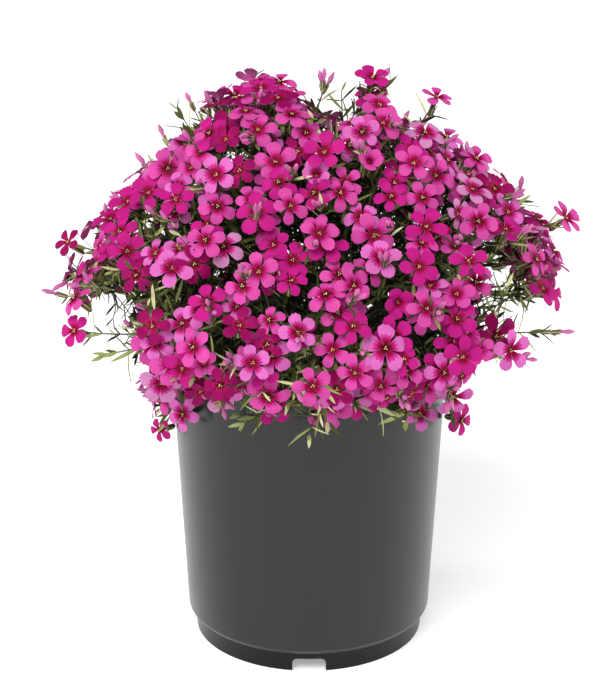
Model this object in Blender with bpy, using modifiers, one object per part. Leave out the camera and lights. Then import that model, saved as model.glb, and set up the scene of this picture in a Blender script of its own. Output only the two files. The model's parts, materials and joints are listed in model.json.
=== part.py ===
"""A creeping phlox in its nursery pot: pot, growing mix, stock, boughs and masses of blossom.

The crown is one turned outline that swells or falls in at named places. Shoots are dealt
evenly over it by the golden angle, each belongs to the mass whose middle is nearest, and a
mass keeps to its own side of the planes that lie halfway to its neighbours.
"""
import math
import random
from collections import namedtuple

import bmesh
import bpy
from mathutils import Vector

SEED = 41
CLEARANCE = 0.0003

# pot, all metres
POT_HEIGHT = 0.178
POT_STEPS = 36
LIP_RADIUS = 0.0836
LIP_DEPTH = 0.004
LIP_ROUND = 0.0007
WALL_TOP_RADIUS = 0.0825
WALL_BASE_RADIUS = 0.0743
WALL_THICKNESS = 0.0015
STEP_HEIGHT = 0.0134
STEP_ROUND = 0.0032
FOOT_TOP_RADIUS = 0.0703
FOOT_RADIUS = 0.0695
FOOT_RING_WIDTH = 0.0027
CHANNEL_HEIGHT = 0.0096
HUB_RADIUS = 0.047
FLOOR_THICKNESS = 0.002
FLOOR_TOP = CHANNEL_HEIGHT + FLOOR_THICKNESS
FLOOR_CORNER = 0.0035
DRAFT = 0.0015
NOTCH_COUNT = 3
NOTCH_WIDTH = 0.020
NOTCH_HEIGHT = 0.0084
NOTCH_REACH = (0.0610, 0.0760)

# growing mix
SOIL_TOP = 0.164
SOIL_CROWN = 0.166
SOIL_STEPS = 24
SOIL_GAP = 0.0006

# stock and crown of the plant
STOCK_BASE_RADIUS = 0.0115
STOCK_TOP_RADIUS = 0.0060
STOCK_FLARE = 0.0015
STOCK_TOP = 0.200
STOCK_STEPS = 16
HEART = Vector((0.0, 0.0, 0.185))
CROWN_PROFILE = (
    (0.000, 0.341),
    (0.032, 0.340),
    (0.052, 0.333),
    (0.069, 0.317),
    (0.089, 0.298),
    (0.112, 0.279),
    (0.132, 0.260),
    (0.145, 0.241),
    (0.149, 0.222),
    (0.145, 0.205),
    (0.133, 0.192),
    (0.114, 0.182),
    (0.097, 0.167),
    (0.092, 0.150),
    (0.090, 0.134),
)
PROFILE_STEPS = 240
SKIRT_TOP = 0.186
FRONT_LIFT = 0.78
FRONT_DRAW = 0.06
SIDE_SWELL = 0.025
CLUMP_RELIEF = 0.006
CLUMP_WIDTH = 0.030
SITE_SCATTER = 0.003

# where the outline stands out or falls in: middle, reach and how far
Swell = namedtuple("Swell", "middle reach depth")
SWELLS = (
    Swell(Vector((-0.128, 0.000, 0.276)), 0.045, -0.013),
    Swell(Vector((0.135, -0.050, 0.200)), 0.042, -0.030),
    Swell(Vector((-0.110, -0.060, 0.183)), 0.032, -0.028),
    Swell(Vector((0.000, 0.000, 0.341)), 0.026, -0.010),
    Swell(Vector((-0.040, -0.005, 0.337)), 0.017, 0.006),
    Swell(Vector((0.038, 0.000, 0.337)), 0.017, 0.007),
    Swell(Vector((0.112, 0.000, 0.285)), 0.028, -0.005),
    Swell(Vector((0.150, -0.010, 0.225)), 0.025, -0.006),
    Swell(Vector((-0.150, -0.010, 0.235)), 0.025, -0.003),
    Swell(Vector((0.098, -0.030, 0.165)), 0.030, -0.010),
    Swell(Vector((-0.085, 0.110, 0.225)), 0.040, 0.005),
    Swell(Vector((0.070, 0.115, 0.250)), 0.035, -0.007),
)

# masses: a ring of middles, where their limbs leave the stock, and the seats where these end
Tier = namedtuple("Tier", "name count radius height first_turn leave seat_radius seat_height arch")
TIERS = (
    Tier("top", 1, 0.000, 0.322, 0.0, 0.2018, 0.0015, 0.267, 0.000),
    Tier("upper", 4, 0.062, 0.298, 40.0, 0.1965, 0.037, 0.253, 0.006),
    Tier("shoulder", 6, 0.103, 0.258, 12.0, 0.1890, 0.062, 0.229, 0.006),
    Tier("brim", 7, 0.118, 0.210, 64.0, 0.1815, 0.066, 0.206, 0.006),
    Tier("skirt", 6, 0.095, 0.163, 30.0, 0.1735, 0.0905, 0.1935, 0.013),
)
SKIRT_LIFT = 0.008
Mass = namedtuple("Mass", "name middle bough stem")
BOUGH_BASE_RADIUS = 0.0016
BOUGH_TIP_RADIUS = 0.0010
BOUGH_POINTS = 5
BOUGH_SET_OFF = 0.0008
STEM_RADII = (0.0009, 0.0009, 0.00075, 0.0006)
CELL_MARGIN = 0.0005
LIMB_MARGIN = 0.0007
RIM_MARGIN = 0.0011

# shoots, flowers, buds and leaves
SITE_COUNT = 147
GOLDEN_TURN = math.radians(137.508)
TURN_SCATTER = 0.05
ROOT_LOW = 0.22
ROOT_HIGH = 0.97
PULLS = (0.0, 0.08, 0.16, 0.24, 0.34)
PULL_DEPTH = 0.018
TWIG_RADIUS = 0.00065
FACE_LIFT = 0.30
FACE_SCATTER = 0.32
LIGHT_WAY = Vector((0.0, -0.94, 0.34))
LIGHT_EDGE = 0.050
LIGHT_DEPTH = 0.070
FLOWER_RADIUS = 0.0130
FLOWER_TOP = 0.0008
FLOWER_BACK = 0.0016
PETAL_HALF_TURN = 0.33
NOTCH_SHARE = 0.36
NOTCH_LIFT = 0.0002
SMALLEST_FLOWER = 0.45
BUD_LENGTH = 0.011
SHOOT_TIP_LENGTH = 0.015
BUD_RADIUS = 0.0016
LEAF_LENGTH = 0.0165
LEAF_WIDTH = 0.0030
LEAF_THICKNESS = 0.0006
FLAT_ANGLE = 0.02

# lone shoots that stand out of the crown: turn, radius, height, flower size, leaves
LoneShoot = namedtuple("LoneShoot", "turn radius height size leaves")
LONE_SHOOTS = (
    LoneShoot(186.0, 0.076, 0.328, 0.0, 4),
    LoneShoot(180.0, 0.066, 0.325, 0.3, 2),
    LoneShoot(8.0, 0.008, 0.337, 0.3, 2),
    LoneShoot(0.0, 0.036, 0.344, 0.9, 1),
    LoneShoot(5.0, 0.074, 0.331, 0.8, 2),
    LoneShoot(-4.0, 0.095, 0.300, 0.9, 1),
    LoneShoot(0.0, 0.124, 0.269, 0.0, 4),
    LoneShoot(183.0, 0.141, 0.248, 0.8, 2),
    LoneShoot(194.0, 0.149, 0.205, 0.9, 2),
    LoneShoot(2.0, 0.154, 0.2575, 1.0, 2),
    LoneShoot(-14.0, 0.144, 0.202, 0.3, 4),
    LoneShoot(-22.0, 0.130, 0.191, 0.3, 3),
    LoneShoot(-158.0, 0.126, 0.193, 0.0, 3),
    LoneShoot(-168.0, 0.091, 0.1345, 0.6, 2),
    LoneShoot(-9.0, 0.090, 0.138, 0.9, 2),
    LoneShoot(100.0, 0.150, 0.205, 0.8, 2),
    LoneShoot(60.0, 0.094, 0.136, 0.8, 1),
)


def clear_scene():
    for item in list(bpy.data.objects):
        bpy.data.objects.remove(item)


def make_material(name, colour, roughness):
    material = bpy.data.materials.new(name)
    material.use_nodes = True
    surface = material.node_tree.nodes["Principled BSDF"]
    surface.inputs["Base Color"].default_value = (*colour, 1.0)
    surface.inputs["Roughness"].default_value = roughness
    surface.inputs["Metallic"].default_value = 0.0
    return material


def collection(name):
    found = bpy.data.collections.get(name)
    if not found:
        found = bpy.data.collections.new(name)
        bpy.context.scene.collection.children.link(found)
    return found


def add_object(name, data, material, group="creeping_phlox"):
    item = bpy.data.objects.new(name, data)
    collection(group).objects.link(item)
    if material:
        data.materials.append(material)
    return item


def polar(radius, turn, height):
    return Vector((radius * math.cos(turn), radius * math.sin(turn), height))


def lathe(name, profile, steps, material):
    """A turned solid from its half section, listed from the top down the outer side."""
    mesh = bpy.data.meshes.new(name)
    points = [(radius, 0.0, height) for radius, height in profile]
    edges = [(index, index + 1) for index in range(len(points) - 1)]
    mesh.from_pydata(points, edges, [])
    item = add_object(name, mesh, material)
    screw = item.modifiers.new("turned", "SCREW")
    screw.axis = "Z"
    screw.steps = steps
    screw.render_steps = steps
    screw.use_merge_vertices = True
    screw.merge_threshold = 0.00001
    screw.use_smooth_shade = True
    return item


def pot_profile():
    """Half section of the pot: inside from the floor up, over the lip, down and under."""
    lip_low = POT_HEIGHT - LIP_DEPTH
    inner_top = WALL_TOP_RADIUS - WALL_THICKNESS
    inner_base = WALL_BASE_RADIUS - WALL_THICKNESS
    inner_foot = FOOT_RADIUS - FOOT_RING_WIDTH
    return (
        (0.0, FLOOR_THICKNESS),
        (HUB_RADIUS - FLOOR_THICKNESS, FLOOR_THICKNESS),
        (HUB_RADIUS - FLOOR_THICKNESS + DRAFT, FLOOR_TOP),
        (inner_base - FLOOR_CORNER, FLOOR_TOP),
        (inner_base, FLOOR_TOP + FLOOR_CORNER),
        (inner_top, POT_HEIGHT - LIP_ROUND),
        (inner_top + LIP_ROUND, POT_HEIGHT),
        (LIP_RADIUS - LIP_ROUND, POT_HEIGHT),
        (LIP_RADIUS, POT_HEIGHT - LIP_ROUND),
        (LIP_RADIUS, lip_low + LIP_ROUND),
        (WALL_TOP_RADIUS, lip_low),
        (WALL_BASE_RADIUS, STEP_HEIGHT + STEP_ROUND),
        (WALL_BASE_RADIUS - STEP_ROUND * 0.13, STEP_HEIGHT + STEP_ROUND * 0.50),
        (WALL_BASE_RADIUS - STEP_ROUND * 0.50, STEP_HEIGHT + STEP_ROUND * 0.13),
        (WALL_BASE_RADIUS - STEP_ROUND, STEP_HEIGHT),
        (FOOT_TOP_RADIUS, STEP_HEIGHT - CLEARANCE),
        (FOOT_RADIUS, 0.0),
        (inner_foot, 0.0),
        (inner_foot + CLEARANCE, CHANNEL_HEIGHT),
        (HUB_RADIUS + DRAFT, CHANNEL_HEIGHT),
        (HUB_RADIUS, 0.0),
        (0.0, 0.0),
    )


def notch_cutter():
    """Round-topped blocks that cut the drain notches through the foot ring."""
    half = NOTCH_WIDTH / 2.0
    outline = (
        (-half, -FLOOR_THICKNESS),
        (half, -FLOOR_THICKNESS),
        (half, NOTCH_HEIGHT * 0.60),
        (half * 0.86, NOTCH_HEIGHT * 0.89),
        (half * 0.60, NOTCH_HEIGHT),
        (-half * 0.60, NOTCH_HEIGHT),
        (-half * 0.86, NOTCH_HEIGHT * 0.89),
        (-half, NOTCH_HEIGHT * 0.60),
    )
    count = len(outline)
    points = []
    faces = []
    for index in range(NOTCH_COUNT):
        turn = -math.pi / 2.0 + index * math.tau / NOTCH_COUNT
        out = polar(1.0, turn, 0.0)
        side = polar(1.0, turn + math.pi / 2.0, 0.0)
        start = len(points)
        for reach in NOTCH_REACH:
            for across, height in outline:
                points.append(out * reach + side * across + Vector((0.0, 0.0, height)))
        faces.append([start + step for step in reversed(range(count))])
        faces.append([start + count + step for step in range(count)])
        for step in range(count):
            after = (step + 1) % count
            faces.append((start + step, start + after, start + count + after, start + count + step))
    mesh = bpy.data.meshes.new("notch_cutter")
    mesh.from_pydata(points, [], faces)
    cutter = add_object("notch_cutter", mesh, None, "cutters")
    cutter.hide_render = True
    cutter.display_type = "WIRE"
    return cutter


def build_pot(material):
    pot = lathe("pot", pot_profile(), POT_STEPS, material)
    cut = pot.modifiers.new("drain_notches", "BOOLEAN")
    cut.operation = "DIFFERENCE"
    cut.solver = "EXACT"
    cut.object = notch_cutter()


def build_soil(material):
    inner_top = WALL_TOP_RADIUS - WALL_THICKNESS - SOIL_GAP
    inner_base = WALL_BASE_RADIUS - WALL_THICKNESS - SOIL_GAP
    floor = FLOOR_TOP + SOIL_GAP
    slope = (inner_top - inner_base) / (POT_HEIGHT - floor)
    facet = inner_base * (1.0 - math.cos(math.pi / POT_STEPS))
    hub = HUB_RADIUS - FLOOR_THICKNESS - SOIL_GAP - facet
    profile = (
        (0.0, SOIL_CROWN),
        (STOCK_BASE_RADIUS * 2.0, SOIL_CROWN),
        (inner_base + slope * (SOIL_TOP - floor) - facet, SOIL_TOP),
        (inner_base - facet, floor + FLOOR_CORNER),
        (inner_base - FLOOR_CORNER - facet, floor),
        (hub + DRAFT, floor),
        (hub, FLOOR_THICKNESS + SOIL_GAP),
        (0.0, FLOOR_THICKNESS + SOIL_GAP),
    )
    lathe("growing_mix", profile, SOIL_STEPS, material)


def stock_radius(height):
    share = (height - SOIL_CROWN) / (STOCK_TOP - SOIL_CROWN)
    return STOCK_BASE_RADIUS + (STOCK_TOP_RADIUS - STOCK_BASE_RADIUS) * min(max(share, 0.0), 1.0)


def build_stock(material):
    base = SOIL_CROWN + CLEARANCE
    profile = (
        (0.0, STOCK_TOP + 0.0015),
        (STOCK_TOP_RADIUS * 0.65, STOCK_TOP + 0.0010),
        (STOCK_TOP_RADIUS, STOCK_TOP - 0.0010),
        (stock_radius(base + 0.004), base + 0.004),
        (STOCK_BASE_RADIUS + STOCK_FLARE, base + 0.0012),
        (STOCK_BASE_RADIUS + STOCK_FLARE, base),
        (0.0, base),
    )
    lathe("stock", profile, STOCK_STEPS, material)


def front_share(turn):
    """1 at the front of the crown, falling to 0 at its sides and round the back."""
    return max(0.0, -math.sin(turn)) ** 2


def profile_rows():
    """Radius, height and summed area at even steps down the crown's outline."""
    lengths = [0.0]
    for first, second in zip(CROWN_PROFILE, CROWN_PROFILE[1:]):
        lengths.append(lengths[-1] + math.dist(first, second))
    rows = []
    area = 0.0
    for step in range(PROFILE_STEPS + 1):
        along = lengths[-1] * step / PROFILE_STEPS
        spot = 0
        while spot < len(lengths) - 2 and lengths[spot + 1] < along:
            spot += 1
        share = (along - lengths[spot]) / (lengths[spot + 1] - lengths[spot])
        first, second = CROWN_PROFILE[spot], CROWN_PROFILE[spot + 1]
        radius = first[0] + (second[0] - first[0]) * share
        height = first[1] + (second[1] - first[1]) * share
        if rows:
            area += math.dist(rows[-1][:2], (radius, height)) * (rows[-1][0] + radius) * 0.5
        rows.append((radius, height, area))
    return rows


def outline_swell(spot):
    """How far the outline stands out of the turned one round a point of it."""
    depths = []
    for row in SWELLS:
        apart = (spot - row.middle).length / row.reach
        depths.append(row.depth * math.exp(-apart * apart))
    return sum(depths)


def crown_point(rows, share, turn, swell=0.0):
    """The point and outward direction a share of the way down the crown's area."""
    wanted = rows[-1][2] * share
    spot = 1
    while spot < len(rows) - 1 and rows[spot][2] < wanted:
        spot += 1
    low = rows[max(spot - 4, 0)]
    high = rows[min(spot + 4, len(rows) - 1)]
    out = Vector((low[1] - high[1], 0.0, high[0] - low[0])).normalized()
    radius, height, _ = rows[spot]
    front = front_share(turn)
    radius *= 1.0 - FRONT_DRAW * front
    if height < SKIRT_TOP:
        height = SKIRT_TOP - (SKIRT_TOP - height) * (1.0 - FRONT_LIFT * front)
    else:
        radius *= 1.0 + SIDE_SWELL * math.cos(turn)
    normal = polar(out.x, turn, out.z)
    spot = polar(radius, turn, height)
    return spot + normal * (swell + outline_swell(spot)), normal


def arc_points(start, bend, end, count):
    points = []
    for index in range(count):
        share = index / (count - 1)
        points.append(start.lerp(bend, share).lerp(bend.lerp(end, share), share))
    return points


def lay_out_mass(tier, index):
    """Middle of a mass, the limb that carries it and the stem that it branches from."""
    turn = math.radians(tier.first_turn + 360.0 * index / tier.count)
    front = front_share(turn)
    radius = tier.radius * (1.0 - FRONT_DRAW * front + SIDE_SWELL * math.cos(turn))
    height = tier.height + (SKIRT_LIFT * front if tier.name == "skirt" else 0.0)
    middle = polar(radius, turn, height)
    leave_radius = 0.0 if tier.count == 1 else stock_radius(tier.leave) + BOUGH_SET_OFF + CLEARANCE
    start = polar(leave_radius, turn, tier.leave)
    seat = polar(tier.seat_radius, turn, tier.seat_height)
    bend = start.lerp(seat, 0.45) + Vector((0.0, 0.0, tier.arch))
    bough = arc_points(start, bend, seat, BOUGH_POINTS)
    ahead = (bough[-1] - bough[-2]).normalized()
    foot = seat + ahead * CLEARANCE
    turn_point = foot + ahead * (middle - foot).length * 0.35
    stem = arc_points(foot, turn_point, middle, len(STEM_RADII))
    name = tier.name if tier.count == 1 else f"{tier.name}_{index + 1}"
    return Mass(name, middle, bough, stem)


def lay_out_masses():
    return [lay_out_mass(tier, index) for tier in TIERS for index in range(tier.count)]


def cell_depth(masses, point, mass):
    """How far a point lies inside the mass's own space."""
    own = masses[mass].middle
    depths = []
    for other, row in enumerate(masses):
        if other != mass:
            gain = (point - row.middle).length_squared - (point - own).length_squared
            depths.append(gain / (2.0 * (row.middle - own).length))
    return min(depths)


def home_of(masses, point):
    return min(range(len(masses)), key=lambda mass: (point - masses[mass].middle).length_squared)


def segment_distance(point, first, second):
    span = second - first
    share = min(max((point - first).dot(span) / span.length_squared, 0.0), 1.0)
    return (point - first.lerp(second, share)).length


def is_free(masses, mass, points):
    """True when every point keeps to the mass's space, off the boughs and off the pot."""
    for point in points:
        if cell_depth(masses, point, mass) < CELL_MARGIN:
            return False
        near_pot = math.hypot(point.x, point.y) < LIP_RADIUS + RIM_MARGIN
        if near_pot and point.z < POT_HEIGHT + RIM_MARGIN:
            return False
        for row in masses:
            for first, second in zip(row.bough, row.bough[1:]):
                if segment_distance(point, first, second) < BOUGH_BASE_RADIUS + LIMB_MARGIN:
                    return False
    return True


def ring_run(points, radii, sides, turn, last_ahead=None):
    """Rings of verts along a path and the faces between them, open at the far end."""
    verts = []
    rings = []
    ahead = (points[1] - points[0]).normalized()
    side = ahead.orthogonal().normalized()
    side = side * math.cos(turn) + ahead.cross(side) * math.sin(turn)
    for index, point in enumerate(points):
        before = points[max(index - 1, 0)]
        after = points[min(index + 1, len(points) - 1)]
        ahead = (after - before).normalized()
        if last_ahead and index == len(points) - 1:
            ahead = last_ahead
        side = (side - ahead * side.dot(ahead)).normalized()
        across = ahead.cross(side)
        rings.append(range(len(verts), len(verts) + sides))
        for step in range(sides):
            angle = math.tau * step / sides
            verts.append(point + (side * math.cos(angle) + across * math.sin(angle)) * radii[index])
    faces = [tuple(reversed(rings[0]))]
    for low, high in zip(rings, rings[1:]):
        for step in range(sides):
            after = (step + 1) % sides
            faces.append((low[step], low[after], high[after], high[step]))
    return verts, rings[-1], faces


def stem_solid(points):
    verts, last, faces = ring_run(points, STEM_RADII, 4, 0.0)
    faces.append(tuple(last))
    return verts, faces


def leaf_solid(base, tip, facing):
    """A narrow pointed leaf: two blades that meet along a raised midrib."""
    along = tip - base
    side = along.cross(facing).normalized() * LEAF_WIDTH * 0.5
    top = side.cross(along).normalized() * LEAF_THICKNESS * 0.5
    middle = base + along * 0.45
    verts = [base, tip, middle + side - top, middle - side - top, middle + top]
    faces = [(0, 3, 2), (0, 4, 3), (0, 2, 4), (1, 2, 3), (1, 3, 4), (1, 4, 2)]
    return verts, faces


def flowering_twig(path, facing, turn, radius):
    """A twig that widens into a flat five-petalled flower."""
    neck = path[-1] - facing * FLOWER_BACK
    points = list(path[:-1]) + [neck]
    radii = [TWIG_RADIUS] * (len(points) - 1) + [TWIG_RADIUS * 1.3]
    verts, last, faces = ring_run(points, radii, 3, turn, facing)
    side = (verts[last[0]] - neck).normalized()
    across = facing.cross(side)
    start = len(verts)
    corners = (
        (-PETAL_HALF_TURN, 1.0, 0.0),
        (PETAL_HALF_TURN, 1.0, 0.0),
        (math.pi / 5.0, NOTCH_SHARE, NOTCH_LIFT),
    )
    for petal in range(5):
        middle = math.tau * petal / 5.0 - 0.77
        for shift, reach, lift in corners:
            angle = middle + shift
            offset = side * math.cos(angle) + across * math.sin(angle)
            verts.append(path[-1] + offset * radius * reach + facing * lift)
    top = len(verts)
    verts.append(path[-1] + facing * FLOWER_TOP)
    for step in range(15):
        after = start + (step + 1) % 15
        faces.append((top, start + step, after))
        faces.append((last[step // 5], after, start + step))
    for corner in range(3):
        after = (corner + 1) % 3
        faces.append((last[corner], last[after], start + (5 * corner + 5) % 15))
    return verts, faces, start


def budding_twig(path, facing, turn, length):
    """A twig that ends in a pointed bud."""
    points = list(path) + [path[-1] + facing * length * 0.5]
    radii = [TWIG_RADIUS] * len(path) + [BUD_RADIUS]
    verts, last, faces = ring_run(points, radii, 3, turn, facing)
    start = len(verts)
    verts.append(path[-1] + facing * length)
    for corner in range(3):
        faces.append((last[corner], last[(corner + 1) % 3], start))
    return verts, faces, start


def point_along(path, share):
    along = share * (len(path) - 1)
    spot = min(int(along), len(path) - 2)
    return path[spot].lerp(path[spot + 1], along - spot)


def twig_path(stem, root_share, tip, facing, count):
    """A shoot that leaves the mass's stem and turns to meet its tip square on."""
    root = point_along(stem, root_share)
    square = tip - facing * (tip - root).length * 0.45
    bend = square.lerp(root.lerp(tip, 0.5), 0.35)
    return arc_points(root, bend, tip, count)


def face_direction(spot, normal, rng, scatter):
    """A flower looks outwards and up, and on the lit side of the crown towards the light."""
    lean = Vector((rng.uniform(-1.0, 1.0), rng.uniform(-1.0, 1.0), rng.uniform(-1.0, 1.0)))
    lit = min(max((LIGHT_EDGE - spot.y) / LIGHT_DEPTH, 0.0), 1.0)
    lift = Vector((0.0, 0.0, FACE_LIFT))
    return (normal + lift + LIGHT_WAY * lit + lean * scatter).normalized()


def grow_shoot(masses, mass, root_share, tip, facing, rng, size, leaves):
    """Twig, flower or bud, and leaves of one shoot; leaves that aren't free are skipped."""
    path = twig_path(masses[mass].stem, root_share, tip, facing, 3)
    turn = rng.uniform(0.0, math.tau)
    if size >= SMALLEST_FLOWER:
        radius = FLOWER_RADIUS * size * rng.uniform(0.94, 1.06)
        verts, faces, start = flowering_twig(path, facing, turn, radius)
    else:
        length = BUD_LENGTH if size > 0.0 else SHOOT_TIP_LENGTH
        verts, faces, start = budding_twig(path, facing, turn, length)
    if not is_free(masses, mass, path[1:] + verts[start:]):
        return None
    solids = [(verts, faces)]
    ahead = (path[2] - path[1]).normalized()
    side = ahead.orthogonal().normalized()
    for index in range(leaves):
        spot = point_along(path, 0.90 - 0.60 * index / max(leaves, 3))
        angle = rng.uniform(0.0, math.tau)
        out = side * math.cos(angle) + ahead.cross(side) * math.sin(angle)
        aim = (ahead * 0.45 + out * 0.9).normalized()
        reach = LEAF_LENGTH * rng.uniform(0.8, 1.15)
        blade = leaf_solid(spot - aim * TWIG_RADIUS * 0.3, spot + aim * reach, ahead)
        if is_free(masses, mass, blade[0]):
            solids.append(blade)
    return solids


def shoot_sites(masses):
    """Tip, facing, random source, flower size and leaf count of every shoot."""
    rows = profile_rows()
    sites = []
    for index in range(SITE_COUNT):
        rng = random.Random(SEED * 1009 + index)
        turn = index * GOLDEN_TURN + rng.uniform(-TURN_SCATTER, TURN_SCATTER)
        share = (index + 0.5) / SITE_COUNT
        spot, normal = crown_point(rows, share, turn)
        depth = cell_depth(masses, spot, home_of(masses, spot))
        relief = CLUMP_RELIEF * (min(depth / CLUMP_WIDTH, 1.0) - 0.5) if spot.z > SKIRT_TOP else 0.0
        swell = relief + rng.uniform(-SITE_SCATTER, SITE_SCATTER)
        spot, normal = crown_point(rows, share, turn, swell)
        sites.append((spot, face_direction(spot, normal, rng, FACE_SCATTER), rng, 1.0, 1))
    for index, shoot in enumerate(LONE_SHOOTS):
        rng = random.Random(SEED * 2003 + index)
        spot = polar(shoot.radius, math.radians(shoot.turn), shoot.height)
        facing = (spot - HEART).normalized()
        if shoot.size >= SMALLEST_FLOWER:
            facing = face_direction(spot, facing, rng, 0.0)
        sites.append((spot, facing, rng, shoot.size, shoot.leaves))
    return sites


def shoots_of_masses(masses):
    """The shoots of each mass, with their roots dealt along its stem, widest turn lowest."""
    dealt = [[] for _ in masses]
    for site in shoot_sites(masses):
        dealt[home_of(masses, site[0])].append(site)
    for mass, sites in enumerate(dealt):
        stem = masses[mass].stem
        ahead = (stem[-1] - stem[-2]).normalized()
        waist = point_along(stem, 0.5)
        sites.sort(key=lambda site: -ahead.angle(site[0] - waist))
        for index, site in enumerate(sites):
            share = ROOT_LOW + (1.0 - ROOT_LOW) * index / max(len(sites) - 1, 1)
            sites[index] = (min(share, ROOT_HIGH), *site)
    return dealt


def grow_mass(masses, mass, shoots):
    """All the shoots of a mass, each drawn in towards the middle until it is free."""
    middle = masses[mass].middle
    core = middle + (middle - HEART).normalized() * PULL_DEPTH
    solids = []
    for root_share, spot, facing, rng, size, leaves in shoots:
        for pull in PULLS:
            tip = spot.lerp(core, pull)
            found = grow_shoot(masses, mass, root_share, tip, facing, rng, size, leaves)
            if found:
                solids.extend(found)
                break
    return solids


def turn_outwards(shape):
    """Point every face of a closed mesh outwards."""
    bmesh.ops.recalc_face_normals(shape, faces=shape.faces)
    if shape.calc_volume(signed=True) < 0.0:
        bmesh.ops.reverse_faces(shape, faces=shape.faces)


def mesh_of(name, solid):
    verts, faces = solid[:2]
    mesh = bpy.data.meshes.new(name)
    mesh.from_pydata(verts, [], faces)
    shape = bmesh.new()
    shape.from_mesh(mesh)
    bmesh.ops.triangulate(shape, faces=shape.faces)
    turn_outwards(shape)
    shape.to_mesh(mesh)
    shape.free()
    return mesh


def shells_of(shape):
    """The connected shells of a mesh, largest first."""
    waiting = set(shape.verts)
    shells = []
    while waiting:
        stack = [waiting.pop()]
        shell = list(stack)
        while stack:
            for edge in stack.pop().link_edges:
                for vert in edge.verts:
                    if vert in waiting:
                        waiting.discard(vert)
                        stack.append(vert)
                        shell.append(vert)
        shells.append(shell)
    return sorted(shells, key=len, reverse=True)


def tidy_mesh(mesh):
    """Drop loose scraps and sealed hollows, then clear away needless edges."""
    shape = bmesh.new()
    shape.from_mesh(mesh)
    for shell in shells_of(shape)[1:]:
        bmesh.ops.delete(shape, geom=shell, context="VERTS")
    bmesh.ops.dissolve_limit(shape, angle_limit=FLAT_ANGLE, verts=shape.verts, edges=shape.edges)
    bmesh.ops.triangulate(shape, faces=shape.faces)
    turn_outwards(shape)
    shape.to_mesh(mesh)
    shape.free()


def fuse(name, base, solids, material):
    """One closed body from a stem and everything that grows on it."""
    pieces = collection(name + "_pieces")
    for index, solid in enumerate(solids):
        pieces.objects.link(bpy.data.objects.new(f"piece_{index}", mesh_of("piece", solid)))
    item = add_object(name, mesh_of(name, base), material)
    join = item.modifiers.new("join", "BOOLEAN")
    join.operation = "UNION"
    join.operand_type = "COLLECTION"
    join.collection = pieces
    join.solver = "MANIFOLD"
    graph = bpy.context.evaluated_depsgraph_get()
    joined = bpy.data.meshes.new_from_object(item.evaluated_get(graph))
    item.modifiers.remove(join)
    for piece in list(pieces.objects):
        bpy.data.objects.remove(piece)
    bpy.data.collections.remove(pieces)
    tidy_mesh(joined)
    item.data = joined


def add_limb(name, path, material):
    """One tapering limb: a bevelled curve whose radius falls along it."""
    curve = bpy.data.curves.new(name, "CURVE")
    curve.dimensions = "3D"
    curve.bevel_depth = 1.0
    curve.bevel_resolution = 0
    curve.use_fill_caps = True
    spline = curve.splines.new("POLY")
    spline.points.add(len(path) - 1)
    for index, point in enumerate(path):
        share = index / (len(path) - 1)
        spline.points[index].co = (*point, 1.0)
        spline.points[index].radius = BOUGH_BASE_RADIUS + (BOUGH_TIP_RADIUS - BOUGH_BASE_RADIUS) * share
    add_object(name, curve, material)


def build_plant(wood, bloom):
    masses = lay_out_masses()
    for mass, shoots in enumerate(shoots_of_masses(masses)):
        row = masses[mass]
        add_limb("bough_" + row.name, row.bough, wood)
        solids = grow_mass(masses, mass, shoots)
        fuse("blossom_" + row.name, stem_solid(row.stem), solids, bloom)


def main():
    clear_scene()
    build_pot(make_material("charcoal_plastic", (0.052, 0.052, 0.055), 0.42))
    build_soil(make_material("bark_mix", (0.045, 0.028, 0.018), 0.95))
    wood = make_material("green_wood", (0.16, 0.11, 0.06), 0.80)
    build_stock(wood)
    build_plant(wood, make_material("phlox_bloom", (0.62, 0.05, 0.27), 0.60))


main()
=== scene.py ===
"""Looks of a creeping phlox in full flower in its nursery pot, built round the packed solids.

The crown grows by the same rule as the solids: masses round a stock, a stem in each, and
shoots dealt over one turned outline by the golden angle. Finer twigs, leaves, buds and the
flowers' parts are then carried on from those shoots, inside the same outline.
"""

import functools
import json
import random
from collections import namedtuple
from math import cos, dist, exp, hypot, pi, radians, sin, sqrt, tau

import bmesh
import bpy
from bpy.props import FloatProperty, FloatVectorProperty, IntProperty, PointerProperty
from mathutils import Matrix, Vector

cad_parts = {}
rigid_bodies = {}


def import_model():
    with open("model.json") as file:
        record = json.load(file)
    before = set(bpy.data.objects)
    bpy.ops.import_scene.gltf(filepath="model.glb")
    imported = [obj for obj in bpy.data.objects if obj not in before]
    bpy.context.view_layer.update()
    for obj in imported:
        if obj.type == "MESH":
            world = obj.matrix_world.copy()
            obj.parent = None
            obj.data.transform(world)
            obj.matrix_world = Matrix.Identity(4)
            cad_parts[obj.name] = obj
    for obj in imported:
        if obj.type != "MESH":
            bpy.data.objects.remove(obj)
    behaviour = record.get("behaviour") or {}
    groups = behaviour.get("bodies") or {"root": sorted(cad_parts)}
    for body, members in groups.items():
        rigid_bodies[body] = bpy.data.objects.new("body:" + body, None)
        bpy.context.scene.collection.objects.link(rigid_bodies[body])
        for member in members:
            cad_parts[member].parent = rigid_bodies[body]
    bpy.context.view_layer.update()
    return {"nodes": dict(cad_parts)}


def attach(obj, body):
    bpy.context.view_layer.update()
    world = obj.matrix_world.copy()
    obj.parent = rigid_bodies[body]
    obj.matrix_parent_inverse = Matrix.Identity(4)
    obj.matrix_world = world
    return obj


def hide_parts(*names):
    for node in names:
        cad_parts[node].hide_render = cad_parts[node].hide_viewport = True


bl_info = {
    "name": "Potted Creeping Phlox",
    "version": (1, 0, 0),
    "blender": (4, 5, 0),
    "location": "View3D > Sidebar > Phlox",
    "description": "Builds a creeping phlox in full flower in its nursery pot",
    "category": "Add Mesh",
}

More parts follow.
